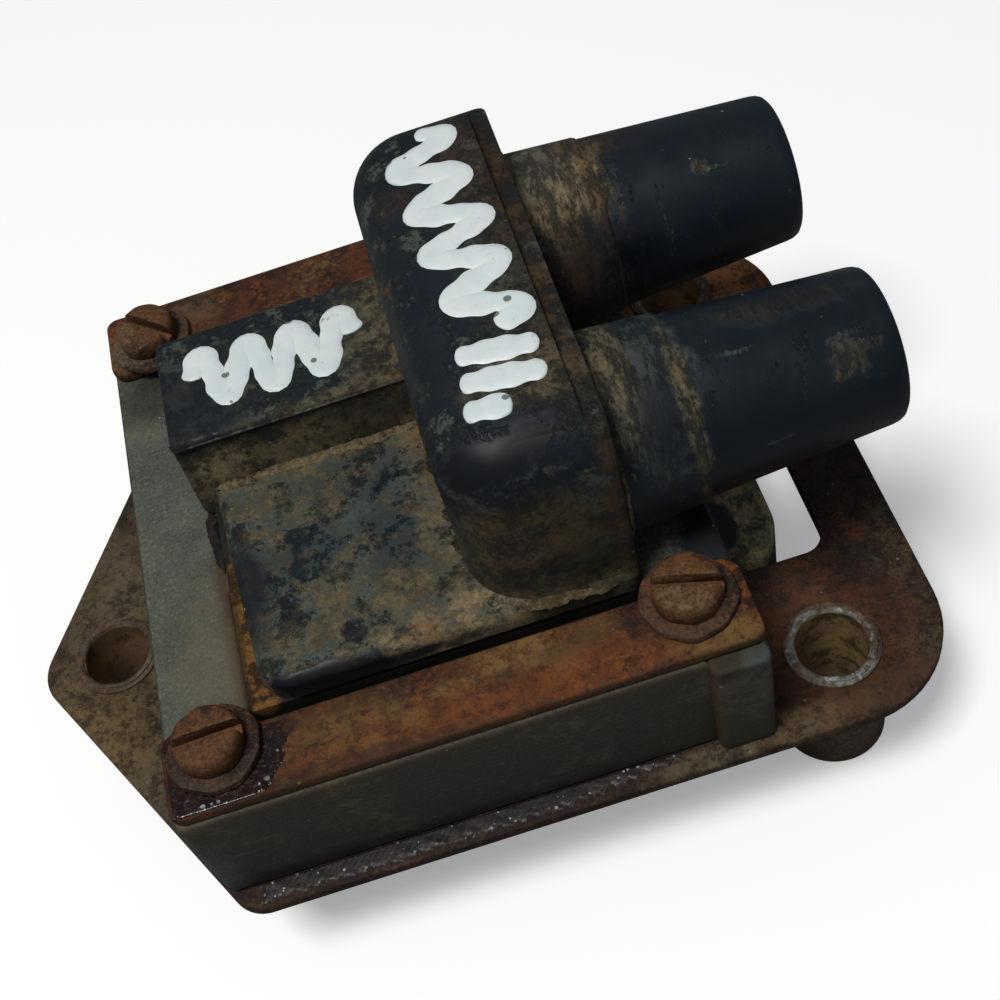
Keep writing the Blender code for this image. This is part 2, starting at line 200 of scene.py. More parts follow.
# A film of dust: cloudy patches broken up into fine mottles
film, take, outlet = newGroup(
    "dustFilm", [("Vector", "Vector", None), ("Amount", "Float", 0.5), ("Cloud", "Float", 90.0),
                 ("Mottle", "Float", 700.0)], [("Mask", "Float")])
cloud = noise(film, take["Vector"], take["Cloud"], 3.0, 0.55)
mottle = noise(film, take["Vector"], take["Mottle"], 7.0, 0.72, 0.3)
both = plus(film, times(film, cloud, 0.5), times(film, mottle, 0.5))
edge = calc(film, "MULTIPLY_ADD", take["Amount"], -0.36, 0.68)
give(film, outlet, {"Mask": rise(film, both, minus(film, edge, 0.05), plus(film, edge, 0.05))})

# Specks: small grains, one in some of the cells
speck, take, outlet = newGroup(
    "specks", [("Vector", "Vector", None), ("Scale", "Float", 900.0), ("Share", "Float", 0.1),
               ("Size", "Float", 0.25)], [("Mask", "Float")])
cells = addNode(speck, "TexVoronoi", {"Vector": take["Vector"], "Scale": take["Scale"], "Randomness": 1.0})
chance = addNode(speck, "SeparateColor", {0: cells.outputs["Color"]}).outputs
size = times(speck, take["Size"], chance[1])
dot = calc(speck, "LESS_THAN", cells.outputs["Distance"], size)
give(speck, outlet, {"Mask": times(speck, dot, calc(speck, "LESS_THAN", chance[0], take["Share"]))})

# Scratches: thin broken lines, drawn out along one direction
scratch, take, outlet = newGroup(
    "scratches", [("Vector", "Vector", None), ("Stretch", "Vector", (1, 12, 12)), ("Scale", "Float", 60.0),
                  ("Amount", "Float", 0.5)], [("Mask", "Float")])
lined = stretch(scratch, take["Vector"], take["Stretch"])
lines = addNode(scratch, "TexVoronoi", {"Vector": lined, "Scale": take["Scale"]}, feature="DISTANCE_TO_EDGE")
thin = rise(scratch, lines.outputs["Distance"], 0.022, 0.004)
start = minus(scratch, 0.86, times(scratch, take["Amount"], 0.4))
broken = rise(scratch, noise(scratch, take["Vector"], 130.0, 4.0, 0.6), start, 0.9)
give(scratch, outlet, {"Mask": times(scratch, thin, broken)})

# Rust: dark scale, brown body, bright bloom and pale dust, all ragged
rust, take, outlet = newGroup(
    "rust", [("Vector", "Vector", None), ("Dark", "Color", None), ("Body", "Color", None),
             ("Bloom", "Color", None), ("Dust", "Color", None), ("Blooming", "Float", 0.5),
             ("Dusting", "Float", 0.3), ("Darkening", "Float", 0.4)],
    [("Colour", "Color"), ("Roughness", "Float"), ("Height", "Float")])
broad = noise(rust, take["Vector"], 85.0, 10.0, 0.72, 0.2)
middle = noise(rust, take["Vector"], 380.0, 9.0, 0.78)
fine = noise(rust, take["Vector"], 2300.0, 3.0, 0.7)
mixed = plus(rust, times(rust, broad, 0.55), times(rust, middle, 0.45))
level = calc(rust, "MULTIPLY_ADD", take["Darkening"], 0.3, 0.35)
colour = blend(rust, rise(rust, mixed, minus(rust, level, 0.035), plus(rust, level, 0.055)), take["Dark"],
               take["Body"])
moved = shift(rust, take["Vector"], (0.37, 0.11, 0.23))
bloom = plus(rust, times(rust, noise(rust, moved, 130.0, 10.0, 0.75, 0.2), 0.65),
             times(rust, noise(rust, moved, 900.0, 6.0, 0.8), 0.35))
level = calc(rust, "MULTIPLY_ADD", take["Blooming"], -0.3, 0.68)
colour = blend(rust, rise(rust, bloom, minus(rust, level, 0.025), plus(rust, level, 0.045)), colour,
               take["Bloom"])
dusty = maskOf(rust, film, {"Vector": moved, "Amount": take["Dusting"], "Cloud": 60.0, "Mottle": 900.0})
colour = blend(rust, times(rust, dusty, 0.8), colour, take["Dust"])
grainy = rise(rust, fine, 0.3, 0.7, 0.55, 1.42)
colour = shaded(rust, colour, grainy)
height = plus(rust, times(rust, middle, 0.6), times(rust, fine, 0.3))
height = plus(rust, height, times(rust, bloom, 0.5))
give(rust, outlet, {"Colour": colour, "Roughness": rise(rust, mixed, 0.3, 0.7, 0.62, 0.86), "Height": height})
print("shader groups built")


def newMaterial(name):
    material = bpy.data.materials.new(name)
    material.use_nodes = True
    tree = material.node_tree
    place = addNode(tree, "TexCoord").outputs["Object"]
    return material, tree, tree.nodes["Principled BSDF"], place


def bump(tree, shader, height, depth):
    result = addNode(tree, "Bump", {"Height": height, "Strength": 1.0, "Distance": depth * mm})
    tree.links.new(result.outputs[0], shader.inputs["Normal"])


def blotAt(tree, place, centre, reach, ragged, grain, edge):
    centre, reach = [tuple(np.array(v, float) * mm) for v in (centre, reach)]
    return maskOf(tree, blot, {"Vector": place, "Centre": centre, "Reach": reach, "Ragged": ragged,
                               "Grain": grain, "Edge": edge})


def grainsOf(tree, place, scale, share, size):
    return maskOf(tree, speck, {"Vector": place, "Scale": scale, "Share": share, "Size": size})


# The straw and flame tones are dust and rust colours made light, as painted light in shaded places
tones = {"tan": (0.150, 0.118, 0.064), "grey": (0.074, 0.100, 0.092), "olive": (0.052, 0.044, 0.021),
         "brown": (0.062, 0.032, 0.013), "dark": (0.007, 0.0062, 0.005), "clean": (0.0030, 0.0052, 0.0088),
         "sand": (0.23, 0.175, 0.098), "orange": (0.20, 0.062, 0.013), "chalk": (0.34, 0.37, 0.36),
         "yellow": (0.21, 0.125, 0.036), "blue": (0.0070, 0.0150, 0.0225), "amber": (0.17, 0.082, 0.020),
         "wine": (0.026, 0.0065, 0.0042), "litStraw": (0.40, 0.33, 0.175), "litFlame": (0.30, 0.115, 0.036),
         "tar": (0.010, 0.0026, 0.0018)}


def mouldedPlastic(name, spots=(), dusting=0.45, warm=0.5, size=1.0, gloss=0.4, scratched=0.4,
                   along=(1, 14, 14), streak=(1, 1, 1)):
    # Blue-black moulding under ragged dust: one fractal runs from bare through teal grey to olive, a second
    # one to tan. spots are (centre, reach, tone, strength, ragged, grain, edge), laid on in order.
    material, tree, shader, place = newMaterial(name)
    drawn = stretch(tree, place, streak)
    broad = noise(tree, drawn, 190.0 / size, 12.0, 0.84)
    other = noise(tree, shift(tree, drawn, (0.21, 0.4, 0.13)), 260.0 / size, 12.0, 0.84)
    grit = noise(tree, place, 1500.0, 3.0, 0.8)
    base = blend(tree, noise(tree, place, 40.0, 3.0), tones["clean"], tones["blue"])
    level, warmLevel = 0.62 - 0.24 * dusting, 0.64 - 0.22 * warm
    grey = rise(tree, broad, level - 0.05, level + 0.03)
    both = plus(tree, broad, times(tree, minus(tree, other, 0.5), 0.5))
    soil = rise(tree, both, level + 0.02, level + 0.10)
    pale = rise(tree, other, warmLevel, warmLevel + 0.06)
    colour = blend(tree, times(tree, grey, 0.8), base, tones["grey"])
    colour = blend(tree, times(tree, soil, 0.8), colour, tones["olive"])
    pale = times(tree, times(tree, pale, grey), 0.85)
    colour = blend(tree, pale, colour, tones["tan"])
    cover = calc(tree, "MAXIMUM", times(tree, grey, 0.8), pale)
    for centre, reach, tone, strength, ragged, grain, edge in spots:
        bare = tone in ("clean", "dark", "blue")
        mask = times(tree, blotAt(tree, place, centre, reach, ragged, grain, edge), strength)
        if not bare:
            mask = times(tree, mask, rise(tree, other, 0.42, 0.54, 0.15, 1.0))
        colour = blend(tree, mask, colour, tones[tone])
        cover = between(tree, mask, cover, 0.0 if bare else 1.0)
    shade = between(tree, cover, 1.0, rise(tree, grit, 0.3, 0.7, 0.72, 1.28))
    colour = shaded(tree, colour, shade)
    pits = grainsOf(tree, place, 520.0, 0.13, 0.30)
    colour = blend(tree, times(tree, times(tree, pits, cover), 0.8), colour, tones["dark"])
    lines = maskOf(tree, scratch, {"Vector": place, "Stretch": along, "Scale": 55.0, "Amount": scratched})
    colour = blend(tree, times(tree, lines, 0.3), colour, tones["grey"])
    grains = grainsOf(tree, place, 620.0, 0.055, 0.16)
    colour = blend(tree, times(tree, grains, 0.75), colour, tones["chalk"])
    tree.links.new(colour, shader.inputs["Base Color"])
    smear = rise(tree, noise(tree, place, 160.0, 5.0, 0.6), 0.3, 0.7, gloss - 0.07, gloss + 0.12)
    tree.links.new(between(tree, cover, smear, 0.9), shader.inputs["Roughness"])
    height = plus(tree, times(tree, grit, calc(tree, "MULTIPLY_ADD", cover, 0.7, 0.06)),
                  times(tree, broad, calc(tree, "MULTIPLY_ADD", cover, 1.6, 0.02)))
    height = minus(tree, height, plus(tree, times(tree, lines, 0.2), times(tree, pits, 0.5)))
    bump(tree, shader, height, 0.16)
    shader.inputs["Specular IOR Level"].default_value = 0.33
    return material


def rustySteel(name, dark, body, bright, dust, blooming=0.5, dusting=0.3, darkening=0.4, spots=(), depth=0.28,
               metal=0.0):
    material, tree, shader, place = newMaterial(name)
    skin = useGroup(tree, rust, {"Vector": place, "Dark": dark, "Body": body, "Bloom": bright, "Dust": dust,
                                 "Blooming": blooming, "Dusting": dusting, "Darkening": darkening})
    colour, roughness = skin["Colour"], skin["Roughness"]
    for centre, reach, tone, strength, ragged, grain, edge in spots:
        mask = times(tree, blotAt(tree, place, centre, reach, ragged, grain, edge), strength)
        mask = times(tree, mask, rise(tree, noise(tree, place, 420.0, 12.0, 0.86), 0.43, 0.55, 0.1, 1.0))
        colour = blend(tree, mask, colour, tones[tone])
        if tone == "tar":
            roughness = between(tree, mask, roughness, 0.12)
    glints = grainsOf(tree, place, 900.0, 0.05, 0.22)
    colour = blend(tree, times(tree, glints, 0.5), colour, tones["sand"])
    tree.links.new(colour, shader.inputs["Base Color"])
    tree.links.new(roughness, shader.inputs["Roughness"])
    shader.inputs["Metallic"].default_value = metal
    shader.inputs["Specular IOR Level"].default_value = 0.3
    bump(tree, shader, skin["Height"], depth)
    return material


# Shape helpers
def outline(corners, reach=3.0, steps=6):
    # Closed outline with an arc at each corner (x, y, radius[, share of the following edge]). Returns the
    # points and the direction in which each moves when the outline shrinks by one. An arc's point is its
    # centre plus its radius times a normal that turns from one edge's to the next's.
    rows = np.array([(c + (1.0,))[:4] for c in corners], float)
    corner, radius, share = rows[:, :2], np.maximum(rows[:, 2], 0.05), rows[:, 3]
    ahead = np.roll(corner, -1, 0) - corner
    ahead /= np.linalg.norm(ahead, axis=1, keepdims=True)
    normalOut = np.stack([ahead[:, 1], -ahead[:, 0]], 1)
    normalIn = np.roll(normalOut, 1, 0)
    shareIn = np.roll(share, 1)
    cosine = (normalIn * normalOut).sum(1)
    sweep = np.arccos(np.clip(cosine, -1, 1))
    side = np.sign(normalIn[:, 0] * normalOut[:, 1] - normalIn[:, 1] * normalOut[:, 0])
    mitre = (normalIn + normalOut) / (1 + cosine)[:, None]
    centre = corner - mitre * (radius * side)[:, None]
    part = np.linspace(0, 1, steps + 1)[None, :, None]
    angle = sweep[:, None, None]
    normal = np.sin((1 - part) * angle) * normalIn[:, None] + np.sin(part * angle) * normalOut[:, None]
    normal = normal / np.sin(angle)
    points = centre[:, None] + normal * (radius * side)[:, None, None]
    a = (shareIn - cosine * share) / (1 - cosine ** 2)
    b = (share - cosine * shareIn) / (1 - cosine ** 2)
    straight = a[:, None] * normalIn + b[:, None] * normalOut
    sharp = ((radius < reach) & (side > 0)) | (shareIn != share)
    push = np.where(sharp[:, None, None], -straight[:, None] + 0 * normal, -normal)
    return points.reshape(-1, 2), push.reshape(-1, 2)


def gridFaces(rows, columns, closedRows=False):
    # Quads between rows of a grid whose columns close on themselves
    row = np.arange(rows if closedRows else rows - 1)[:, None]
    column = np.arange(columns)[None]
    nextRow, nextColumn = (row + 1) % rows, (column + 1) % columns
    quads = np.stack([row * columns + column, row * columns + nextColumn,
                      nextRow * columns + nextColumn, nextRow * columns + column], 2)
    return quads.reshape(-1, 4)


def cappedFaces(rows, columns):
    # The same grid with one more face over each end
    first = np.arange(columns)
    return list(gridFaces(rows, columns)) + [first[::-1], first + columns * (rows - 1)]


def makePiece(name, points, faces, material, replaced=(), crease=38, cutter=False):
    mesh = bpy.data.meshes.new(name)
    mesh.from_pydata((np.asarray(points, float) * mm).tolist(), [], [list(map(int, f)) for f in faces])
    shell = bmesh.new()
    shell.from_mesh(mesh)
    if shell.calc_volume(signed=True) < 0:  # a profile or path given the other way round
        bmesh.ops.reverse_faces(shell, faces=shell.faces)
        shell.to_mesh(mesh)
    shell.free()
    piece = bpy.data.objects.new(name, mesh)
    scene.collection.objects.link(piece)
    mesh.shade_smooth()
    mesh.set_sharp_from_angle(angle=math.radians(crease))
    if material:
        mesh.materials.append(material)
    if cutter:
        piece.hide_render = True
        piece.display_type = "WIRE"
        return piece
    if replaced:
        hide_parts(*replaced)
    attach(piece, "root")
    return piece


def raised(name, shape, profile, material, replaced=(), lumps=None, **more):
    # An outline carried up a profile of (inset, height): each point is the outline's plus inset times push
    points, push = shape
    profile = np.array(profile, float)
    grid = points[None] + push[None] * profile[:, 0, None, None]
    grid = np.concatenate([grid, np.broadcast_to(profile[:, 1, None, None], grid.shape[:2] + (1,))], 2)
    if lumps is not None:
        grid = lumps(grid)
    return makePiece(name, grid.reshape(-1, 3), cappedFaces(len(profile), len(points)), material, replaced,
                     **more)


def edgeProfile(low, high, lowEdge, highEdge, steps=4, inner=2.6):
    # (inset, height) rows: flat rim, quarter round, wall, quarter round, flat rim
    turnIn = np.linspace(0, math.pi / 2, steps + 1)
    bottom = [(lowEdge * (1 - math.sin(t)), low + lowEdge * (1 - math.cos(t))) for t in turnIn]
    top = [(highEdge * (1 - math.cos(t)), high - highEdge * (1 - math.sin(t))) for t in turnIn]
    rims = [(max(inner, edge + 0.6), height) for edge, height in ((lowEdge, low), (highEdge, high))]
    return rims[:1] + bottom + [(0.0, (low + high) / 2)] + top + rims[1:]


def turned(name, profile, centre, material, replaced=(), sides=96, axis=2, closed=True, wobble=None, **more):
    # A profile of (radius, height) rows turned about an axis through centre: x = r cos t, y = r sin t
    profile = np.array(profile, float)
    t = np.linspace(0, 2 * math.pi, sides, endpoint=False)
    radius = np.repeat(profile[:, :1], sides, 1)
    height = np.repeat(profile[:, 1:2], sides, 1)
    if wobble is not None:
        radius, height = wobble(radius, height, t[None])
    grid = np.stack([radius * np.cos(t), radius * np.sin(t), height], 2).reshape(-1, 3)
    faces = gridFaces(len(profile), sides, True) if closed else cappedFaces(len(profile), sides)
    if axis == 0:
        grid = grid[:, [2, 0, 1]]
    return makePiece(name, grid + np.array(centre, float), faces, material, replaced, **more)


def cutBy(piece, cutters, rounding=0.0, segments=2):
    for cutter in cutters:
        change = piece.modifiers.new("cut", "BOOLEAN")
        change.operation = "DIFFERENCE"
        change.object = cutter
        change.solver = "EXACT"
    if rounding:
        soft = piece.modifiers.new("edges", "BEVEL")
        soft.width = rounding * mm
        soft.segments = segments
        soft.limit_method = "ANGLE"
        soft.angle_limit = math.radians(40)
        soft.harden_normals = True
    bpy.context.view_layer.update()
    settled = bpy.data.meshes.new_from_object(piece.evaluated_get(bpy.context.evaluated_depsgraph_get()))
    piece.modifiers.clear()
    piece.data = settled
    settled.shade_smooth()
    settled.set_sharp_from_angle(angle=math.radians(38))
    for cutter in cutters:
        bpy.data.objects.remove(cutter, do_unlink=True)


def swell(points, scale, seed=0.0):
    # Smooth repeatable unevenness between about -1 and 1: products of sines along three skewed directions
    x, y, z = points[..., 0] / scale, points[..., 1] / scale, points[..., 2] / scale
    return (np.sin(2.1 * x + 1.3 * y + seed) * np.cos(1.7 * y - 0.9 * z + 2.3 * seed)
            + 0.6 * np.sin(4.3 * y + 3.1 * z - 1.9 * x + 1.1 * seed) * np.cos(3.7 * x + 0.8 * z - seed)
            + 0.35 * np.sin(9.1 * x - 7.7 * y + 5.3 * z + 3.3 * seed)) / 1.4


# Mounting plate
plateShape = {"lugTip": -61.19, "lugRadius": 6.7, "leftCorner": -36.3, "leftRadius": 5.0, "rightRadius": 14.5,
              "edge": 0.45, "window": (-26.8, 50.1, -18.2, 21.4), "windowRadius": 3.0, "hole": 5.9,
              "dark": (0.013, 0.0068, 0.0052), "body": (0.040, 0.0185, 0.0115),
              "bloom": (0.082, 0.026, 0.009), "dust": (0.070, 0.046, 0.022)}
sleeves = {"left": (-49.3, 0.3), "front_right": (45.0, -32.8), "rear_right": (45.0, 33.8)}
plateSpots = [
    ((-48, -6, plateTop), (17, 26, 4), "tan", 0.6, 1.0, 90.0, 0.5),
    ((-54, -12, plateTop), (9, 9, 4), "yellow", 0.45, 1.2, 160.0, 0.5),
    ((36, -41.5, plateTop), (11, 2.2, 4), "tan", 0.6, 1.2, 160.0, 0.4),
    ((44, -33, plateTop), (11.5, 11.5, 4), "orange", 0.35, 0.8, 240.0, 0.3),
    ((37, -37, plateTop), (5, 3, 4), "wine", 0.6, 1.0, 240.0, 0.4),
    ((50, -40, plateTop), (8, 4, 4), "brown", 0.7, 1.2, 200.0, 0.5),
    # The spots at (44, 34) and (49, 34) about the rear right sleeve are rust lightened as painted light where
    # the towers' shadow falls
    ((44, 34, plateTop), (12, 12, 4), "orange", 0.4, 0.6, 240.0, 0.3),
    ((56, -29, plateTop), (5, 6, 4), "wine", 0.4, 1.0, 200.0, 0.4),
    ((49, 34, plateTop), (13, 12, 4), "litFlame", 0.85, 0.9, 160.0, 0.4),
    ((23, -43, plateTop), (6, 1.6, 4), "tan", 0.6, 1.2, 260.0, 0.4)]
plateSkin = rustySteel("plate_rust", plateShape["dark"], plateShape["body"], plateShape["bloom"],
                       plateShape["dust"], 0.36, 0.34, 0.5, plateSpots, 0.22)
plateOutline = outline([(plateShape["lugTip"], 0.0, plateShape["lugRadius"]),
                        (plateShape["leftCorner"], plateLow[1], plateShape["leftRadius"]),
                        (plateHigh[0], plateLow[1], plateShape["rightRadius"]),
                        (plateHigh[0], plateHigh[1], plateShape["rightRadius"]),
                        (plateShape["leftCorner"], plateHigh[1], plateShape["leftRadius"])], steps=14)
plate = raised("mounting_plate", plateOutline, edgeProfile(plateLow[2], plateTop, 0.35, plateShape["edge"]),
               plateSkin, ("base_plate",))
windowLeft, windowRight, windowFront, windowRear = plateShape["window"]
windowRadius, through = plateShape["windowRadius"], (plateLow[2] - 1, plateTop + 1)
windowOutline = outline([(windowLeft, windowFront, 1.0), (windowRight, windowFront, windowRadius),
                         (windowRight, windowRear, windowRadius), (windowLeft, windowRear, 1.0)], 0.1, 8)
openings = [raised("window_cutter", windowOutline, [(0, z) for z in through], None, cutter=True)]
openings += [turned("hole_cutter", [(plateShape["hole"], z) for z in through], (x, y, 0), None, cutter=True,
                    closed=False, sides=64) for x, y in sleeves.values()]
cutBy(plate, openings, 0.3)
print("mounting plate done")

# Sleeves: swaged rim, uneven and corroded, olive inside
# bore and clay are olive and clay colours made light, as painted light on the sleeves' shaded inner walls
sleeveLook = {"rim": (0.19, 0.21, 0.205), "fleck": (0.50, 0.56, 0.56), "outside": (0.062, 0.036, 0.019),
              "bore": (0.32, 0.23, 0.085), "clay": (0.27, 0.16, 0.10), "soil": (0.045, 0.028, 0.013),
              "top": (0.050, 0.026, 0.014)}
sleeveShape = {"bore": 4.75, "neck": 5.6, "rim": 6.28, "shoulder": 6.9, "shank": 7.2,
               "whiteness": {"left": 0.06}}


def sleeveMetal(name, centre, whiteness):
    material, tree, shader, place = newMaterial(name)
    apart = parts(tree, shift(tree, place, (centre[0] * mm, centre[1] * mm, plateTop * mm), "SUBTRACT"))
    around = plus(tree, times(tree, apart[0], apart[0]), times(tree, apart[1], apart[1]))
    around = calc(tree, "SQRT", around)
    grain = noise(tree, place, 900.0, 6.0, 0.7)
    skin = useGroup(tree, rust, {"Vector": place, "Dark": (0.03, 0.018, 0.01), "Body": sleeveLook["outside"],
                                 "Bloom": (0.11, 0.04, 0.014), "Dust": (0.11, 0.085, 0.05), "Blooming": 0.5,
                                 "Dusting": 0.45, "Darkening": 0.35})
    # The swaged ring, bright and ragged, its pale band wider towards the front left
    ragged = calc(tree, "MULTIPLY_ADD", noise(tree, place, 300.0, 8.0, 0.75), 0.0050, -0.0025)
    ragged = plus(tree, ragged, times(tree, plus(tree, apart[0], apart[1]), 0.06))
    ring = rise(tree, plus(tree, around, ragged), 5.6 * mm, 5.3 * mm)
    above = rise(tree, apart[2], -0.1 * mm, 0.35 * mm)
    pale = times(tree, times(tree, ring, above), rise(tree, grain, 0.40, 0.6, 0.0, 1.0))
    patchy = rise(tree, noise(tree, place, 190.0, 4.0, 0.6), 0.44, 0.52, 0.25, 1.0)
    pale = times(tree, times(tree, pale, whiteness), patchy)
    fleck = rise(tree, noise(tree, place, 620.0, 5.0, 0.7), 0.5, 0.66)
    colour = blend(tree, pale, skin["Colour"], blend(tree, fleck, sleeveLook["rim"], sleeveLook["fleck"]))
    # The bore: olive, with clay and soil, darker towards the top; its olive and clay are made light as painted
    # light on the shaded inner wall
    inside = times(tree, rise(tree, around, 4.95 * mm, 4.8 * mm), rise(tree, apart[2], 0.6 * mm, 0.1 * mm))
    clay = rise(tree, noise(tree, place, 150.0, 8.0, 0.7), 0.42, 0.58)
    soil = rise(tree, noise(tree, place, 260.0, 8.0, 0.7), 0.5, 0.62, 0.0, 0.8)
    high = rise(tree, apart[2], -6 * mm, 0.0, 0.0, 0.6 if whiteness < 0.5 else 0.2)
    wall = blend(tree, clay, sleeveLook["bore"], sleeveLook["clay"])
    wall = blend(tree, soil, wall, sleeveLook["soil"])
    wall = blend(tree, high, wall, sleeveLook["top"])
    colour = blend(tree, inside, colour, wall)
    tree.links.new(colour, shader.inputs["Base Color"])
    tree.links.new(between(tree, inside, skin["Roughness"], 0.5), shader.inputs["Roughness"])
    bump(tree, shader, times(tree, plus(tree, skin["Height"], grain), 0.5), 0.25)
    return material


for name, (x, y) in sleeves.items():
    low, high = nodeBox("mounting_sleeve_" + name)
    top = high[2]

    def unevenRim(radius, height, t, x=x):
        lift = 0.12 * np.sin(3 * t + x) + 0.08 * np.sin(7 * t + 2 * x) + 0.05 * np.sin(13 * t)
        lift = (height > plateTop + 0.55) * lift
        spread = 0.16 * np.sin(2 * t + x) + 0.12 * np.sin(5 * t + 1.7) + 0.07 * np.sin(11 * t + x)
        spread = (height > plateTop + 0.4) * (radius > 5.8) * spread
        return radius + spread - 0.2 * (spread != 0), height + lift - 0.15 * (lift != 0)

    bore, neck, edge, shank = [sleeveShape[key] for key in ("bore", "neck", "rim", "shank")]
    under = plateLow[2]
    swage = [(bore, top - 0.75), (bore + 0.1, top - 0.4), (bore + 0.3, top - 0.15), (bore + 0.6, top - 0.02),
             (5.7, top - 0.08), (6.0, top - 0.28), (edge - 0.03, top - 0.62), (edge, plateTop + 0.05)]
    foot = [(shank, under - 0.7), (shank, 0.6), (shank - 0.2, 0.15), (6.6, 0.0), (5.0, 0.0),
            (bore + 0.05, 0.2)]
    rows = [(bore, 0.6), (bore, plateTop - 4), (bore, plateTop)] + swage + [
        (neck, plateTop + 0.03), (neck, under - 0.1), (sleeveShape["shoulder"], under - 0.1),
        (shank - 0.05, under - 0.3)] + foot
    metal = sleeveMetal("sleeve_metal_" + name, (x, y), sleeveShape["whiteness"].get(name, 0.9))
    piece = turned("sleeve_" + name, rows, (x, y, 0), metal, ("mounting_sleeve_" + name,), wobble=unevenRim)
print("sleeves done")

# Laminated core, painted grey-green
# dark is painted shade, laid on the core's steep sides
coreLook = {"legWidth": 11.4, "edge": 0.9, "tabWidth": 7.4, "paint": (0.066, 0.074, 0.056),
            "pale": (0.112, 0.120, 0.094), "dark": (0.026, 0.027, 0.018)}
legWidth = coreLook["legWidth"]


def corePaint(name, spots):
    material, tree, shader, place = newMaterial(name)
    sandy = noise(tree, place, 2000.0, 5.0, 0.9)
    cloud = noise(tree, place, 120.0, 8.0, 0.7)
    colour = blend(tree, rise(tree, cloud, 0.36, 0.64), coreLook["paint"], coreLook["pale"])
    colour = blend(tree, rise(tree, sandy, 0.535, 0.62, 0.0, 0.7), colour, (0.22, 0.235, 0.195))
    colour = blend(tree, rise(tree, sandy, 0.48, 0.34, 0.0, 0.85), colour, (0.016, 0.020, 0.015))
    # Steep faces are painted darker towards dark: painted shade on the sides, which face away from the light
    # above
    steep = rise(tree, parts(tree, addNode(tree, "NewGeometry").outputs["Normal"])[2], 0.97, 0.6)
    colour = blend(tree, times(tree, steep, 0.84), colour, coreLook["dark"])
    dusty = maskOf(tree, film, {"Vector": place, "Amount": 0.35, "Cloud": 70.0, "Mottle": 500.0})
    colour = blend(tree, times(tree, dusty, 0.3), colour, tones["tan"])
    for centre, reach, tone, strength, ragged, grain, edge in spots:
        mask = times(tree, blotAt(tree, place, centre, reach, ragged, grain, edge), strength)
        colour = blend(tree, mask, colour, tones[tone])
    grains = grainsOf(tree, place, 800.0, 0.06, 0.2)
    colour = blend(tree, times(tree, grains, 0.5), colour, tones["chalk"])
    tree.links.new(colour, shader.inputs["Base Color"])
    tree.links.new(rise(tree, cloud, 0.3, 0.7, 0.5, 0.75), shader.inputs["Roughness"])
    shader.inputs["Specular IOR Level"].default_value = 0.35
    sheets = noise(tree, stretch(tree, place, (4, 4, 2000)), 1.0, 1.0)
    sheets = times(tree, times(tree, sheets, steep), 0.35)
    height = plus(tree, times(tree, cloud, 1.2), sheets)
    bump(tree, shader, plus(tree, times(tree, sandy, 0.5), height), 0.22)
    return material


front, rear = stackLow[1], stackHigh[1]
left, legEnd, yokeInner = stackLow[0], barHigh[0] - coreLook["tabWidth"] + 0.2, stackLow[0] + legWidth
middleY = (front + rear) / 2
coreSpots = [((yokeInner, -14, coreTop), (1.6, 24, 4), "brown", 0.8, 0.5, 260.0, 0.5),
             ((-31, -20, coreTop), (5, 8, 4), "tan", 0.35, 0.9, 260.0, 0.5),
             ((-31, 28, coreTop), (8, 6, 4), "dark", 0.6, 0.9, 260.0, 0.5),
             ((-30, front, plateTop), (40, 3, 3.2), "dark", 0.8, 0.5, 300.0, 0.5),
             ((0, front, coreTop), (60, 3, 1.6), "brown", 0.35, 0.6, 400.0, 0.5),
             ((left, front, 26), (3, 3, 9), "chalk", 0.1, 0.8, 400.0, 0.6)]
middleEnd = barLow[0] - 0.9
stackShape = outline([
    (left, front, 1.2), (legEnd, front, 0.05), (legEnd, front + legWidth, 0.05),
    (yokeInner, front + legWidth, 0.4), (yokeInner, middleY - legWidth, 0.4),
    (middleEnd, middleY - legWidth, 0.05), (middleEnd, middleY + legWidth, 0.05),
    (yokeInner, middleY + legWidth, 0.4), (yokeInner, rear - legWidth, 0.4),
    (legEnd, rear - legWidth, 0.05), (legEnd, rear, 0.05), (left, rear, 1.2)])
stack = raised("core_stack", stackShape, edgeProfile(stackLow[2], coreTop, 0.6, coreLook["edge"], 5, 2.2),
               corePaint("core_paint", coreSpots), ("core_e_stack",))
barRight, tabFront, tabLeft = barHigh[0], barLow[1], barHigh[0] - coreLook["tabWidth"]
barSpots = [((barRight - 4, front, coreTop), (7, 1.9, 3), "brown", 0.75, 0.9, 300.0, 0.4),
            # The clean-toned spot on the bar under the front tower is painted shadow of the tower
            ((34, -24, coreTop), (5, 14, 6), "clean", 0.95, 0.8, 260.0, 0.3),
            ((barRight - 4, tabFront, coreTop), (7, 3, 1.6), "dark", 0.6, 1.2, 300.0, 0.5),
            ((tabLeft, front, 30), (1.2, 2.5, 14), "brown", 0.7, 0.5, 400.0, 0.5),
            ((barRight, tabFront, coreTop), (3, 2, 1.5), "grey", 0.6, 1.4, 400.0, 0.5)]
# Set in a little at the seams with the legs
barFront, barRear, sink = front + 3, rear - 0.2, 0.06
barShape = outline([(barLow[0], barFront, 0.05), (tabLeft, barFront, 0.2), (tabLeft, tabFront, 1.2),
                    (barRight, tabFront, 1.3), (barRight, barRear, 0.8), (barLow[0], barRear, 0.05)])
bar = raised("core_bar", barShape, edgeProfile(barLow[2] + sink, barHigh[2] - sink, 0.6, 0.7, 5, 0.9),
             corePaint("bar_paint", barSpots), ("core_i_bar",))
print("core done")

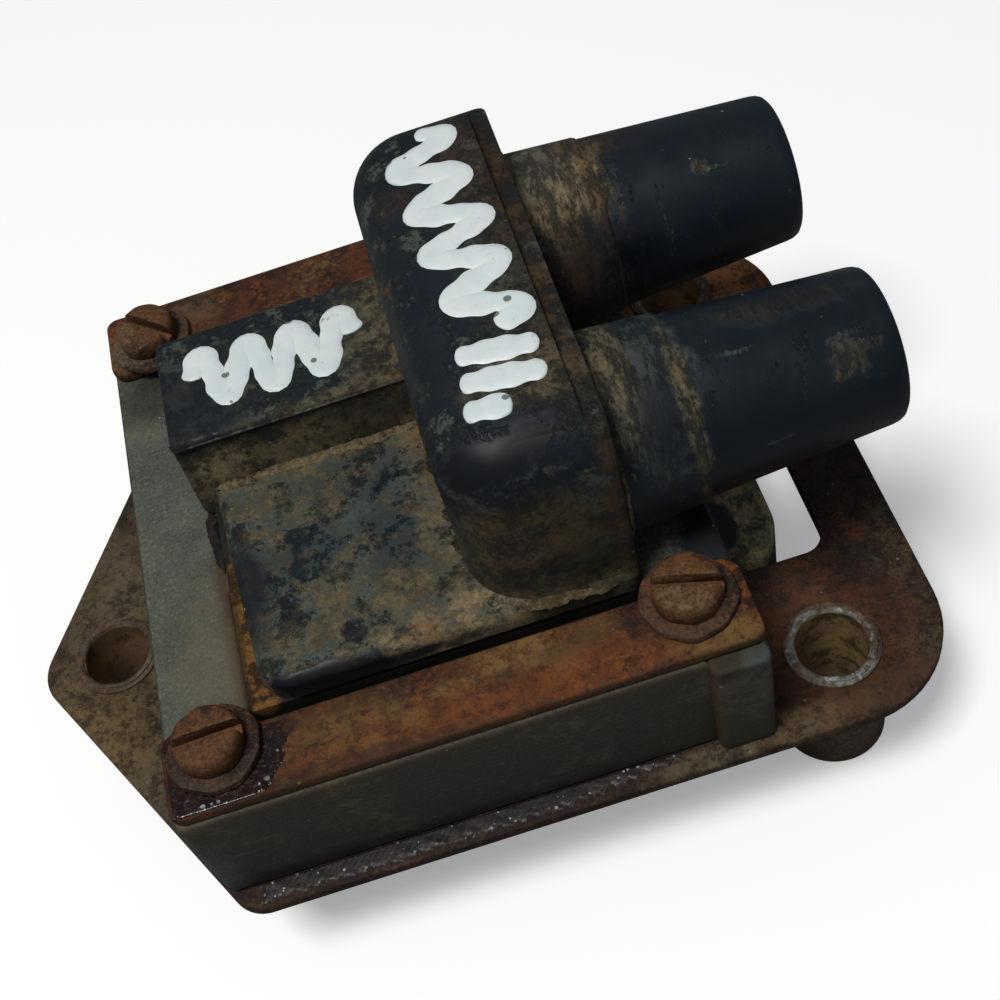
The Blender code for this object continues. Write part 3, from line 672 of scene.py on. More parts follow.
# Clamp strips
stripLook = {"width": 9.6, "earLength": 11.5, "edge": 0.45, "dark": (0.025, 0.0085, 0.0045),
             "body": (0.078, 0.0245, 0.0085), "bloom": (0.150, 0.043, 0.0095), "dust": (0.11, 0.066, 0.022)}
stripSpots = [
    ((-28, -36, stripTop), (12, 7, 6), "wine", 0.75, 0.9, 200.0, 0.4),
    ((7, -33.2, stripTop), (9, 2.6, 3), "yellow", 0.75, 1.4, 220.0, 0.4),
    ((-16, -35, stripTop), (9, 4, 3), "yellow", 0.45, 1.8, 260.0, 0.5),
    ((4, -37.0, stripTop), (3.0, 2.4, 3), "wine", 0.8, 1.2, 360.0, 0.4),
    ((15, -34, stripTop), (5, 2.8, 3), "wine", 0.65, 1.2, 320.0, 0.5),
    ((14, -38, stripTop), (15, 2.6, 3), "orange", 0.5, 1.5, 220.0, 0.5),
    ((-8, -38, stripTop), (18, 2.6, 3), "orange", 0.45, 1.6, 240.0, 0.5),
    ((-14, -31.8, stripTop), (14, 1.4, 3), "wine", 0.7, 1.0, 300.0, 0.5),
    ((30, -39, stripTop), (6, 2.0, 3), "yellow", 0.6, 1.4, 300.0, 0.4),
    ((-14, -39.8, stripTop), (12, 1.2, 3), "dark", 0.6, 1.2, 300.0, 0.4),
    ((0, -40.7, stripTop - 0.8), (60, 0.9, 1.3), "brown", 0.8, 0.7, 400.0, 0.4),
    ((-24, 40.0, stripTop), (4, 3, 3), "tan", 0.4, 1.2, 260.0, 0.5)]
stripSkin = rustySteel("strip_rust", stripLook["dark"], stripLook["body"], stripLook["bloom"],
                       stripLook["dust"], 0.5, 0.3, 0.44, stripSpots, 0.26)
for side, name in ((1, "front"), (-1, "rear")):
    low, high = nodeBox("clamp_strip_" + name)
    outer, ear = (low[1], high[1]) if side > 0 else (high[1], low[1])
    inner = outer + side * stripLook["width"]
    leftEar, rightEar, slant = low[0] + stripLook["earLength"], high[0] - stripLook["earLength"], 1.2
    corners = [(low[0], outer, 1.6), (high[0], outer, 1.6), (high[0], ear, 2.2), (rightEar + slant, ear, 1.6),
               (rightEar - slant, inner, 1.0), (leftEar + slant, inner, 1.0), (leftEar - slant, ear, 1.6),
               (low[0], ear, 2.2)]
    if side < 0:
        corners = corners[::-1]
    profile = edgeProfile(low[2], high[2], 0.25, stripLook["edge"], 4, 1.8)
    strip = raised("strip_" + name, outline(corners), profile, stripSkin, ("clamp_strip_" + name,))
print("clamp strips done")

# Screws and washers
screwLook = {"dark": (0.034, 0.014, 0.007), "body": (0.110, 0.048, 0.019), "bloom": (0.16, 0.062, 0.019),
             "dust": (0.145, 0.095, 0.05), "shank": 2.4, "slotWidth": 1.5, "slotDepth": 1.9,
             "angles": {"front_left": 2, "front_right": -17, "rear_left": -42, "rear_right": 60}}
washerSpots = [((-31.3, -32.8, stripTop), (8, 7.5, 3), "tar", 0.75, 0.8, 300.0, 0.15)]
washerSkin = rustySteel("washer_rust", (0.022, 0.012, 0.008), (0.082, 0.040, 0.020), (0.13, 0.052, 0.020),
                        (0.12, 0.09, 0.055), 0.45, 0.35, 0.4, washerSpots, 0.3)
screwSkin = rustySteel("screw_rust", screwLook["dark"], screwLook["body"], screwLook["bloom"],
                       screwLook["dust"], 0.4, 0.35, 0.3, depth=0.2, metal=0.15)
for name, degrees in screwLook["angles"].items():
    low, high = nodeBox("screw_" + name)
    x, y = (low[0] + high[0]) / 2, (low[1] + high[1]) / 2
    head, top = nodeBox("washer_" + name)[1][2] + 0.02, high[2]
    radius, shank = (high[0] - low[0]) / 2, screwLook["shank"]

    def worn(r, h, t, x=x, y=y):
        dents = 0.06 * np.sin(5 * t + x) + 0.04 * np.sin(9 * t + y)
        return r + (r > 3) * dents, h + (h > head + 1) * 0.05 * np.sin(3 * t + y)

    rows = [(0.3, top - 0.05), (1.5, top - 0.05), (3.0, top - 0.07), (3.6, top - 0.14), (3.85, top - 0.28),
            (4.05, top - 0.55), (radius, top - 1.0), (radius, top - 1.6), (radius, head + 0.25),
            (radius - 0.2, head), (shank, head), (shank, low[2] + 0.6), (shank - 0.5, low[2]), (0.3, low[2])]
    screw = turned("screw_head_" + name, rows[::-1], (x, y, 0), screwSkin, ("screw_" + name,), sides=72,
                   closed=False, wobble=worn)
    half, along = screwLook["slotWidth"] / 2, math.radians(degrees)
    spin = np.array([[math.cos(along), -math.sin(along)], [math.sin(along), math.cos(along)]])
    block = np.array([[sx * 6, sy * half, sz] for sz in (top - screwLook["slotDepth"], top + 2)
                      for sx, sy in ((-1, -1), (1, -1), (1, 1), (-1, 1))])
    block[:, :2] = block[:, :2] @ spin.T + (x, y)
    cutter = makePiece("slot_cutter", block, cappedFaces(2, 4), None, cutter=True)
    cutBy(screw, [cutter], 0.14)

    low, high = nodeBox("washer_" + name)
    bottom = stripTop + 0.02

    def tired(r, h, t, x=x, y=y):
        dents = 0.1 * np.sin(4 * t + x) + 0.07 * np.sin(9 * t + y)
        return r + (r > 4) * dents, h + (h > bottom + 0.4) * 0.05 * np.sin(2 * t + y)

    outer = (high[0] - low[0]) / 2 - 0.12
    rows = [(2.75, bottom), (outer - 0.25, bottom), (outer, bottom + 0.25), (outer, high[2] - 0.4),
            (outer - 0.12, high[2] - 0.15), (outer - 0.4, high[2] - 0.03), (4.6, high[2]), (3.2, high[2]),
            (2.75, high[2] - 0.3)]
    washer = turned("washer_ring_" + name, rows[::-1], (x, y, 0), washerSkin, ("washer_" + name,),
                    wobble=tired)
print("screws and washers done")

# Moulded housing
housing = {"front": -28.9, "rear": 32.1, "deckTop": 45.7, "deckLeft": -26.2, "bodyEdge": 1.8,
           "blockLeft": 3.5, "blockRight": 23.1, "blockFront": -28.4, "blockRear": 31.6,
           "blockTop": housingHigh[2], "blockCorner": 8.5, "blockEdge": 7.0,
           "towerY": (-14.9, 18.1), "towerZ": 55.0, "towerEnd": housingHigh[0], "towerRoot": 12.0,
           "towerMouth": 9.5, "collarEnd": 33.3, "socketRadius": 6.5, "socketFloor": 33.0,
           "pinRadius": 2.7, "pinDepth": 4.4, "ledgeWidth": 2.4, "ledgeDrop": 1.25}
bottom = coreTop + 0.3
deckTop = housing["deckTop"]
deckSpots = [
    ((-23.4, -14, deckTop), (2.8, 8, 6), "clean", 0.9, 1.0, 150.0, 0.4),
    ((-15, -12, deckTop), (5, 4, 5), "blue", 0.5, 1.6, 200.0, 0.6),
    ((-9, -2, deckTop), (7, 4, 5), "blue", 0.4, 1.6, 200.0, 0.6),
    ((-4, -14, deckTop), (3.5, 9, 5), "blue", 0.55, 1.3, 200.0, 0.5),
    ((-12, -18, deckTop), (5, 3.5, 5), "tan", 0.6, 1.6, 220.0, 0.5),
    ((-17, -3, deckTop), (7, 4, 5), "tan", 0.5, 1.6, 200.0, 0.6),
    ((-19, -24, deckTop), (4, 2.5, 5), "tan", 0.5, 1.4, 220.0, 0.5),
    ((-3, -24, deckTop), (6, 6, 5), "tan", 0.75, 1.2, 200.0, 0.5),
    ((1.5, -6, deckTop), (2.4, 15, 5), "tan", 0.65, 1.0, 240.0, 0.4),
    ((3, -28, deckTop), (11, 3.4, 5), "sand", 0.95, 1.0, 260.0, 0.4),
    ((-9, -28.6, deckTop), (8, 1.6, 5), "sand", 0.7, 1.2, 300.0, 0.5),
    ((-3, -27.6, deckTop), (3, 1.4, 5), "orange", 0.4, 1.5, 400.0, 0.5),
    ((-14, 2.4, deckTop), (14, 1.6, 5), "tan", 0.7, 1.0, 260.0, 0.4),
    ((-18, -28.9, deckTop - 1), (10, 1.4, 6), "clean", 0.95, 0.8, 220.0, 0.25),
    ((-16, -29.1, deckTop - 2.6), (18, 1.3, 1.4), "clean", 0.9, 0.7, 220.0, 0.3),
    ((17, -28.6, deckTop - 2), (8, 3, 4), "olive", 0.95, 0.8, 260.0, 0.3),
    ((2.8, 0, deckTop), (1.0, 12, 5), "orange", 0.45, 1.0, 300.0, 0.4)]
deck = raised("housing_deck", outline([(housing["deckLeft"] + 2.2, housing["front"], 4.0),
                                       (housing["blockRight"], housing["front"], 2.0),
                                       (housing["blockRight"], housing["rear"], 2.0),
                                       (housing["deckLeft"] - 0.6, housing["rear"], 4.0)], steps=8),
              edgeProfile(bottom, deckTop, 0.4, housing["bodyEdge"], 6),
              mouldedPlastic("deck_plastic", deckSpots, 0.66, 0.6), ("coil_housing",))
bodyShape = outline([(yokeInner + 0.3, housing["front"], 0.6), (barLow[0] - 0.3, housing["front"], 0.6),
                     (barLow[0] - 0.3, housing["rear"], 0.6), (yokeInner + 0.3, housing["rear"], 0.6)])
bodySpots = [((0, 0, 44), (60, 60, 10), "dark", 0.9, 0.4, 300.0, 0.3),
             ((-24.6, -18, bottom + 1), (2.6, 14, 3), "amber", 1.0, 0.3, 300.0, 0.15),
             ((-26.6, -18, bottom + 1), (0.7, 14, 3), "brown", 0.9, 0.6, 400.0, 0.3)]
body = raised("housing_body", bodyShape,
              [(2, stackLow[2]), (0, stackLow[2]), (0, bottom + 1), (2, bottom + 1)],
              mouldedPlastic("body_plastic", bodySpots, 0.6))

# Tower block: the left, front and rear faces lean in round the top, the right one stays upright
blockTop, blockRight = housing["blockTop"], housing["blockRight"]
blockSpots = [
    ((12, housing["blockFront"], 53), (17, 5, 12.0), "olive", 0.95, 0.3, 140.0, 0.12),
    ((9, housing["blockFront"], 58), (9, 5, 5), "tan", 0.35, 1.6, 200.0, 0.6),
    ((blockRight - 2.4, 0, blockTop - 1.2), (0.8, 60, 0.9), "dark", 0.9, 1.0, 300.0, 0.3),
    ((9, -25.4, blockTop - 2.5), (11, 3.0, 4), "clean", 1.0, 0.7, 200.0, 0.4),
    ((16.2, -25.4, blockTop - 0.6), (1.0, 1.0, 1.2), "dark", 1.0, 0.5, 600.0, 0.2),
    ((12, housing["blockFront"], 57), (8, 4, 6), "brown", 0.35, 0.9, 200.0, 0.5),
    ((20, housing["blockFront"], 49), (6, 4, 4), "dark", 0.5, 0.9, 260.0, 0.5),
    ((10, housing["blockFront"], 44), (16, 5, 3), "tan", 0.7, 0.9, 300.0, 0.4),
    ((18, -5, blockTop), (5, 17, 5), "olive", 0.75, 0.9, 160.0, 0.4),
    ((17, -17, blockTop), (7, 4, 5), "tan", 0.55, 0.9, 220.0, 0.4),
    ((19, 17, blockTop), (4, 12, 5), "brown", 0.6, 0.9, 200.0, 0.4),
    ((9, 16, blockTop), (3, 2.5, 5), "brown", 0.4, 0.9, 300.0, 0.5),
    ((3.5, 4, 62), (2.5, 16, 8), "olive", 0.5, 0.9, 200.0, 0.5),
    ((3.5, -12, 50), (3.0, 18, 5), "tan", 0.6, 0.9, 240.0, 0.4),
    ((4.6, 4, 69.3), (0.6, 1.2, 1.2), "orange", 0.9, 0.8, 900.0, 0.3),
    ((22, 0, 62), (1.4, 60, 12), "brown", 0.7, 0.6, 300.0, 0.4)]
blockSkin = mouldedPlastic("block_plastic", blockSpots, 0.30, 0.4, gloss=0.46, along=(14, 1, 14))
blockLeft, blockFront = housing["blockLeft"], housing["blockFront"]
blockRear, corner = housing["blockRear"], housing["blockCorner"]
shape = outline([(blockLeft, blockFront, corner, 1.0), (blockRight, blockFront, 1.1, 0.0),
                 (blockRight, blockRear, 1.1, 1.0), (blockLeft, blockRear, corner, 1.0)], 0.1, 14)
bend = np.linspace(0, math.pi / 2, 15)
rows = [(0.0, bottom), (0.0, deckTop)] + [(0.0, z) for z in (50, 56, 62)]
blockEdge = housing["blockEdge"]
rows += [(blockEdge * (1 - math.cos(t)), blockTop - blockEdge * (1 - math.sin(t))) for t in bend]
rows += [(8.2, blockTop)]


def sagging(grid):
    # The front and rear faces sink in by up to a tenth, unevenly, except along the right side
    sink = 0.10 * (0.6 + 0.4 * swell(grid, 14.0, 0.7))
    grid = grid.copy()
    free = grid[..., 0] < blockRight - 0.5
    grid[..., 1] -= np.where(free, np.sign(grid[..., 1]) * sink, 0)
    return grid


block = raised("tower_block", shape, rows, blockSkin, lumps=sagging)
ledgeLeft, ledgeRight, reach = blockRight - housing["ledgeWidth"], blockRight + 9, 60
ledgeShape = outline([(ledgeLeft, -reach, 0.05), (ledgeRight, -reach, 0.05), (ledgeRight, reach, 0.05),
                      (ledgeLeft, reach, 0.05)])
ledge = raised("ledge_cutter", ledgeShape, [(0, blockTop - housing["ledgeDrop"]), (0, blockTop + 4)], None,
               cutter=True)
cutBy(block, [ledge], 0.5, 3)
print("deck and tower block done")

# Towers with their root collars and open sockets
for name, y in zip(("front", "rear"), housing["towerY"]):
    root, mouth, end, collar = [housing[key] for key in ("towerRoot", "towerMouth", "towerEnd", "collarEnd")]
    socket, depth, pin = housing["socketRadius"], housing["socketFloor"], housing["pinRadius"]
    slope = (root - mouth) / (end - blockRight)
    x = np.array([blockRight - 4, blockRight, collar - 0.5, collar - 0.12, collar + 0.05, collar + 0.3, 40,
                  48, end - 2.2])
    r = mouth + slope * (end - x) + 0.34 * (x < collar - 0.3) + 0.2 * (abs(x - collar + 0.12) < 0.05)
    lip = [(mouth + slope * 1.6, end - 1.6), (mouth - 0.02, end - 0.9), (mouth - 0.25, end - 0.42),
           (mouth - 0.65, end - 0.12), (mouth - 1.15, end), (mouth - 1.9, end - 0.02),
           (mouth - 2.5, end - 0.2), (socket + 0.12, end - 0.6), (socket, end - 1.2), (socket, depth + 0.6),
           (socket - 0.6, depth), (pin + 0.2, depth), (pin, depth - 0.3), (pin, depth - housing["pinDepth"])]
    if name == "front":
        spots = [((collar - 5, y, 63), (6.2, 12, 16), "grey", 0.5, 0.6, 300.0, 0.15),
                 ((collar - 8, y, 66), (2.6, 9, 8), "tan", 0.85, 1.4, 260.0, 0.5),
                 ((collar - 0.6, y - 6, 62), (1.0, 9, 12), "tan", 0.8, 1.4, 300.0, 0.5),
                 ((collar - 4, y - 7, 60), (2.4, 4, 9), "clean", 0.8, 1.3, 260.0, 0.5),
                 ((51.6, y - 6, 60.5), (1.9, 1.7, 3), "tan", 0.6, 2.6, 300.0, 0.7),
                 ((39, y - 3, 64), (1.5, 0.3, 2), "grey", 0.9, 2.2, 700.0, 0.5),
                 ((41.5, y - 9, 57), (1.8, 3, 0.2), "grey", 0.8, 2.2, 700.0, 0.5),
                 ((46, y + 2, 65), (9, 2, 2), "olive", 0.35, 0.9, 300.0, 0.5),
                 ((36, y - 8, 52), (14, 4, 4), "dark", 0.4, 0.8, 200.0, 0.5)]
    else:
        spots = [((collar - 6, y - 2, 64), (6.5, 11, 16), "tan", 0.6, 1.0, 220.0, 0.4),
                 ((collar - 4, y - 2, 65), (5, 7, 9), "sand", 0.8, 1.5, 240.0, 0.5),
                 ((collar - 0.8, y - 2, 66), (0.9, 9, 8), "orange", 0.3, 1.4, 420.0, 0.4),
                 ((collar - 3, y - 10, 58), (7, 4, 9), "clean", 0.85, 1.2, 260.0, 0.5),
                 ((collar - 7, y + 2, 66), (4, 6, 8), "grey", 0.6, 0.9, 420.0, 0.4),
                 ((collar - 7, y - 9, 55), (6, 4, 9), "brown", 0.55, 0.9, 300.0, 0.5),
                 ((46, y - 5, 63.6), (0.9, 0.9, 1.1), "tan", 0.7, 1.2, 700.0, 0.4),
                 ((47, y - 5.5, 63.4), (1.6, 0.2, 1.6), "grey", 0.9, 2.0, 700.0, 0.5),
                 ((34, y + 3, 66), (6, 3, 3), "brown", 0.45, 1.0, 420.0, 0.4),
                 ((40, y - 7, 60), (0.18, 2, 2), "grey", 0.9, 1.6, 700.0, 0.5)]
    skin = mouldedPlastic("tower_plastic_" + name, spots, 0.02, 0.3, 0.8, gloss=0.38, scratched=0.55,
                          along=(14, 1, 3), streak=(1.6, 0.55, 0.55))
    rows = [(0.4, blockRight - 4)] + list(zip(r, x)) + lip + [(0.4, depth - housing["pinDepth"])]
    tower = turned("tower_" + name, rows, (0, y, housing["towerZ"]), skin, sides=128, axis=0, closed=False)

# Low-voltage connector: a lid over a slightly narrower box, open to the left
connector = {"left": housingLow[0], "right": 9.5, "front": 4.1, "draft": 1.5, "rear": 23.1, "top": 54.4,
             "lid": 1.1, "step": 0.45, "lip": 1.1, "socket": (5.8, 20.6, 45.9, 52.6), "floor": -14.1}


def faceOutline(low, high, bottomZ, topZ, roundTop, step, draft=0.0):
    # The end view: a lid that stands out by step over a box whose front foot stands out by draft
    lid = topZ - connector["lid"]
    return outline([(low + step - draft, bottomZ, 0.3), (high - step, bottomZ, 0.3),
                    (high - step, lid - 0.4, 0.25), (high, lid, 0.3), (high, topZ, roundTop),
                    (low, topZ, roundTop), (low, lid, 0.25), (low + step, lid - 0.4, 0.25)], 2.5, 6)


def faceAt(x, shape):
    return np.concatenate([np.full((len(shape), 1), x), shape], 1)


outer, shrink = faceOutline(connector["front"], connector["rear"], bottom, connector["top"], 0.75,
                            connector["step"], connector["draft"])
y0, y1, z0, z1 = connector["socket"]
inner, _ = faceOutline(y0, y1, z0, z1, 0.7, 0.05)
mouth, lip = connector["left"], connector["lip"]
rings = [faceAt(connector["floor"], inner), faceAt(mouth + 0.7, inner),
         faceAt(mouth + 0.15, inner * 0.97 + outer * 0.03)]
for t in np.linspace(0, 1, 6):  # a quarter round at the mouth
    inset = lip * (1 - math.sin(t * math.pi / 2))
    rings.append(faceAt(mouth + lip * (1 - math.cos(t * math.pi / 2)), outer + shrink * inset))
rings += [faceAt(x, outer) for x in (-20, -8, connector["right"])]
faces = [face[::-1] for face in cappedFaces(len(rings), len(outer))]
connectorSpots = [((-24, 8, 54), (8, 12, 4), "clean", 0.8, 0.9, 220.0, 0.4),
                  ((1, 13, 54.4), (5, 10, 4), "tan", 0.75, 0.9, 300.0, 0.4),
                  ((-4, 4.2, 54.4), (13, 1.8, 3), "tan", 0.7, 0.9, 300.0, 0.4),
                  ((-14, 14, 54.4), (6, 5, 4), "olive", 0.5, 0.9, 300.0, 0.5),
                  ((-10, 3.7, 47.5), (30, 1.9, 5.3), "olive", 1.0, 0.3, 300.0, 0.08),
                  ((-10, 3.7, 46.5), (30, 1.9, 4.4), "tan", 0.75, 1.4, 160.0, 0.5),
                  ((-22.5, 3.7, 48.5), (3.6, 1.9, 3.0), "sand", 0.8, 1.2, 260.0, 0.4),
                  # The chalk line along the lid's lower edge is a painted highlight
                  ((-14, 4.0, 53.55), (18, 0.5, 0.22), "chalk", 0.5, 0.8, 300.0, 0.4),
                  ((-3, 4.1, 47.5), (6, 1.4, 4), "dark", 0.5, 0.9, 300.0, 0.5),
                  # The dark line under the lid's overhang is painted shade
                  ((-14, 4.4, 52.9), (30, 0.6, 0.35), "dark", 0.8, 0.6, 300.0, 0.3)]
box = makePiece("connector_box", np.concatenate(rings), faces,
                mouldedPlastic("connector_plastic", connectorSpots, 0.42, 0.5, gloss=0.5))

# Winding cup below the deck, with its rounded nose at the right
cup = {"right": 45.4, "front": -17.5, "rear": 20.7, "corner": 8.0, "bottom": housingLow[2], "wall": 1.6,
       "depth": 7.6, "edge": 1.3}
cupTop = plateTop - 0.3
# The straw spot lays pale dust on the nose, made light as painted light; the blue spot at its left is painted
# shadow of the front tower
cupSpots = [((42, -9, cupTop), (12, 13, 6), "litStraw", 0.9, 0.3, 200.0, 0.2),
            ((37.5, -9.5, cupTop), (2.6, 4.5, 4), "blue", 0.95, 0.6, 300.0, 0.15),
            ((43.5, -9, cupTop), (0.6, 0.6, 2), "dark", 0.7, 0.7, 600.0, 0.4),
            ((43, 8, cupTop), (6, 12, 4), "olive", 0.9, 0.6, 200.0, 0.3)]
wall, cupBottom, cupEdge = cup["wall"], cup["bottom"], cup["edge"]
cupRows = [(wall, cupBottom + cup["depth"]), (wall, cupBottom + 0.4), (wall - 0.3, cupBottom),
           (0.4, cupBottom), (0.0, cupBottom + 0.4), (0.0, 15.0)]
bend = np.linspace(0, math.pi / 2, 7)
cupRows += [(cupEdge * (1 - math.cos(t)), cupTop - cupEdge * (1 - math.sin(t))) for t in bend]
cupRows += [(2.6, cupTop)]
piece = raised("winding_cup", outline([(yokeInner + 0.6, cup["front"], 1.0),
                                       (cup["right"], cup["front"], cup["corner"]),
                                       (cup["right"], cup["rear"], cup["corner"]),
                                       (yokeInner + 0.6, cup["rear"], 1.0)], 1.0, 14),
               cupRows, mouldedPlastic("cup_plastic", cupSpots, 0.6, 0.6))
print("housing done")

# Paint strokes: raised, soft-edged bands that follow the moulding
paint = {"height": 0.28, "colour": (0.70, 0.79, 0.80), "bright": (0.78, 0.85, 0.85)}
paintSkin, tree, shader, place = newMaterial("white_paint")
flecks = grainsOf(tree, place, 520.0, 0.16, 0.32)
rubbed = maskOf(tree, film, {"Vector": place, "Amount": 0.1, "Cloud": 120.0, "Mottle": 900.0})
colour = blend(tree, rise(tree, noise(tree, place, 260.0, 4.0), 0.35, 0.65), paint["colour"], paint["bright"])
colour = blend(tree, times(tree, rubbed, 0.85), colour, tones["olive"])
colour = blend(tree, times(tree, flecks, 0.8), colour, tones["olive"])
tree.links.new(colour, shader.inputs["Base Color"])
tree.links.new(rise(tree, noise(tree, place, 300.0), 0.3, 0.7, 0.35, 0.55), shader.inputs["Roughness"])
bump(tree, shader, noise(tree, place, 700.0, 3.0), 0.08)


def blockSurface(x, y):
    # Height of the tower block's top: flat, falling along a quarter circle at its left, front and rear
    into = np.minimum.reduce([x - blockLeft, y - blockFront, blockRear - y])
    short = np.clip(blockEdge - into, 0, blockEdge)
    return blockTop - blockEdge + np.sqrt(np.maximum(blockEdge ** 2 - short ** 2, 0))


def lidSurface(x, y):
    return np.full_like(x, connector["top"])


def spaced(path, step):
    # Points at even distances along a path, and how far along each lies
    path = np.array(path, float)
    length = np.concatenate([[0], np.cumsum(np.linalg.norm(np.diff(path, axis=0), axis=1))])
    at = np.linspace(0, length[-1], int(length[-1] / step) + 2)
    return np.stack([np.interp(at, length, column) for column in path.T], 1), at


def directions(line):
    way = np.gradient(line, axis=0)
    return way / np.linalg.norm(way, axis=1, keepdims=True)


def stroke(name, path, surface, width):
    # Cross-section: a flattened dome, height = h (1 - u^4), carried along the path, with round ends
    line, at = spaced(path, 0.35)
    kernel = np.ones(5) / 5
    padded = np.pad(line, ((2, 2), (0, 0)), mode="edge")
    line = np.stack([np.convolve(column, kernel, "valid") for column in padded.T], 1)
    way = directions(line)
    across = np.stack([-way[:, 1], way[:, 0]], 1)
    half = width / 2 * (1 + 0.10 * np.sin(at * 0.9 + width) + 0.06 * np.sin(at * 2.3))
    fromEnd = np.minimum(at, at[-1] - at)
    half = half * np.sqrt(np.clip(1 - (1 - np.clip(fromEnd / (width / 2), 0.02, 1)) ** 2, 0, 1))
    u = np.linspace(-1, 1, 11)
    flat = line[:, None] + across[:, None] * (u[None, :, None] * half[:, None, None])
    lift = paint["height"] * (1 - u ** 4)[None] * np.clip(half / (width / 2), 0, 1)[:, None]
    ground = surface(flat[..., 0], flat[..., 1])
    top = np.concatenate([flat, (ground + lift + 0.02)[..., None]], 2)
    base = np.concatenate([flat, (ground - 0.25)[..., None]], 2)[:, ::-1]
    ring = np.concatenate([top, base], 1)
    faces = [face[::-1] for face in cappedFaces(len(line), ring.shape[1])]
    piece = makePiece(name, ring.reshape(-1, 3), faces, paintSkin, crease=60)


def wave(start, stop, swing, turns, steps=160):
    # A plain wave from start to stop: sideways offset = swing times the sine of 2 pi turns times the way
    t = np.linspace(0, 1, steps)[:, None]
    start, stop = np.array(start, float), np.array(stop, float)
    ahead = (stop - start) / np.linalg.norm(stop - start)
    sideways = np.array([-ahead[1], ahead[0]])
    return start + (stop - start) * t + sideways * swing * np.sin(2 * math.pi * turns * t)


stroke("paint_wave_block", wave((13.4, 26.0), (15.2, -9.5), 3.7, 4.5), blockSurface, 3.4)
bars = [((9.6, -12.0), (19.4, -13.4)), ((9.2, -16.0), (19.2, -17.4)), ((8.6, -20.0), (14.4, -20.6))]
for number, ends in enumerate(bars, 1):
    stroke("paint_bar_%d" % number, ends, blockSurface, 3.3)
stroke("paint_wave_connector", wave((-23.8, 14.2), (-1.5, 13.6), 4.4, 3.5), lidSurface, 3.3)
print("paint done")

# Dirt packed along the joints: an uneven bead, its section a squashed half round
dirt = {"rough": 0.3, "step": 0.4, "sides": 16, "ringRadius": 12.3}


def bead(name, path, width, height, material, seed=0.0, up=(0, 0, 1)):
    rough = dirt["rough"]
    line, at = spaced(path, dirt["step"])
    way = directions(line)
    up = np.broadcast_to(np.array(up, float), way.shape)
    across = np.cross(up, way)
    t = np.linspace(0, 2 * math.pi, dirt["sides"], endpoint=False)[None]
    cosine, sine = np.cos(t), np.sin(t)
    taper = np.clip(np.minimum(at, at[-1] - at) / (width * 1.5), 0.03, 1)[:, None]
    middle = line[:, None]
    size = taper * (1 + rough * swell(middle + cosine[..., None], 2.7, seed)
                    + 0.7 * rough * swell(middle + 0.5 * sine[..., None], 0.9, seed + 2)
                    + 0.35 * rough * swell(middle + 0.3 * cosine[..., None], 0.33, seed + 5))
    sideways = cosine * width / 2 * size
    upwards = sine * height * np.where(sine > 0, size, 0.35 * taper)
    ring = middle + across[:, None] * sideways[..., None] + up[:, None] * upwards[..., None]
    faces = [face[::-1] for face in cappedFaces(len(line), ring.shape[1])]
    return makePiece(name, ring.reshape(-1, 3), faces, material, crease=80)


dirtSkin = rustySteel("packed_dirt", (0.010, 0.0075, 0.005), (0.058, 0.040, 0.019), (0.115, 0.056, 0.018),
                      (0.17, 0.125, 0.066), 0.4, 0.45, 0.46, depth=0.35)
soilSkin = rustySteel("dark_soil", (0.008, 0.006, 0.005), (0.028, 0.019, 0.011), (0.07, 0.035, 0.015),
                      (0.10, 0.08, 0.05), 0.3, 0.3, 0.5, depth=0.35)
arc = np.linspace(math.pi, 1.5 * math.pi, 14)
foot = [(blockLeft - 0.1, 3.0, deckTop)]
foot += [(blockLeft + corner + (corner + 0.1) * math.cos(t),
          blockFront + corner + (corner + 0.1) * math.sin(t),
          deckTop - 0.2 - 0.5 * max(0.0, math.sin(t + math.pi) - 0.5)) for t in arc]
foot += [(21.5, blockFront, deckTop - 1.6)]
bead("dirt_block_foot", foot, 2.5, 0.18, dirtSkin, 1.0)
bead("dirt_connector_foot", [(-25.5, 2.9, deckTop), (3.2, 2.9, deckTop)], 1.5, 0.2, dirtSkin, 2.0)
yokeGap = [(-27.0, -7, coreTop + 0.1), (-27.3, -1, coreTop + 0.2), (-27.6, 4.5, coreTop + 0.1)]
bead("dirt_yoke_gap", yokeGap, 1.6, 0.6, soilSkin, 3.0)
for name, y in zip(("front", "rear"), housing["towerY"]):
    t = np.linspace(-0.35 * math.pi, 1.35 * math.pi, 40)
    ring = np.stack([np.full_like(t, blockRight + 0.1), y + dirt["ringRadius"] * np.cos(t),
                     housing["towerZ"] + dirt["ringRadius"] * np.sin(t)], 1)
    bead("dirt_tower_" + name, ring, 1.2, 0.5, dirtSkin, 7.0, (1, 0, 0))

# Tar: a thin glossy crust along the plate's front ledge and about the front left screw, dotted with pale specks
# painted as sparkling highlights
# grain is the colour of the pale specks painted into the tar as sparkling highlights
tarLook = {"ledgeInner": -40.55, "ledgeOuter": -43.5, "from": -34.6, "to": 22.0, "screw": (-31.3, -33.0),
           "reach": 8.5, "cell": 0.16, "grain": (0.42, 0.45, 0.49)}


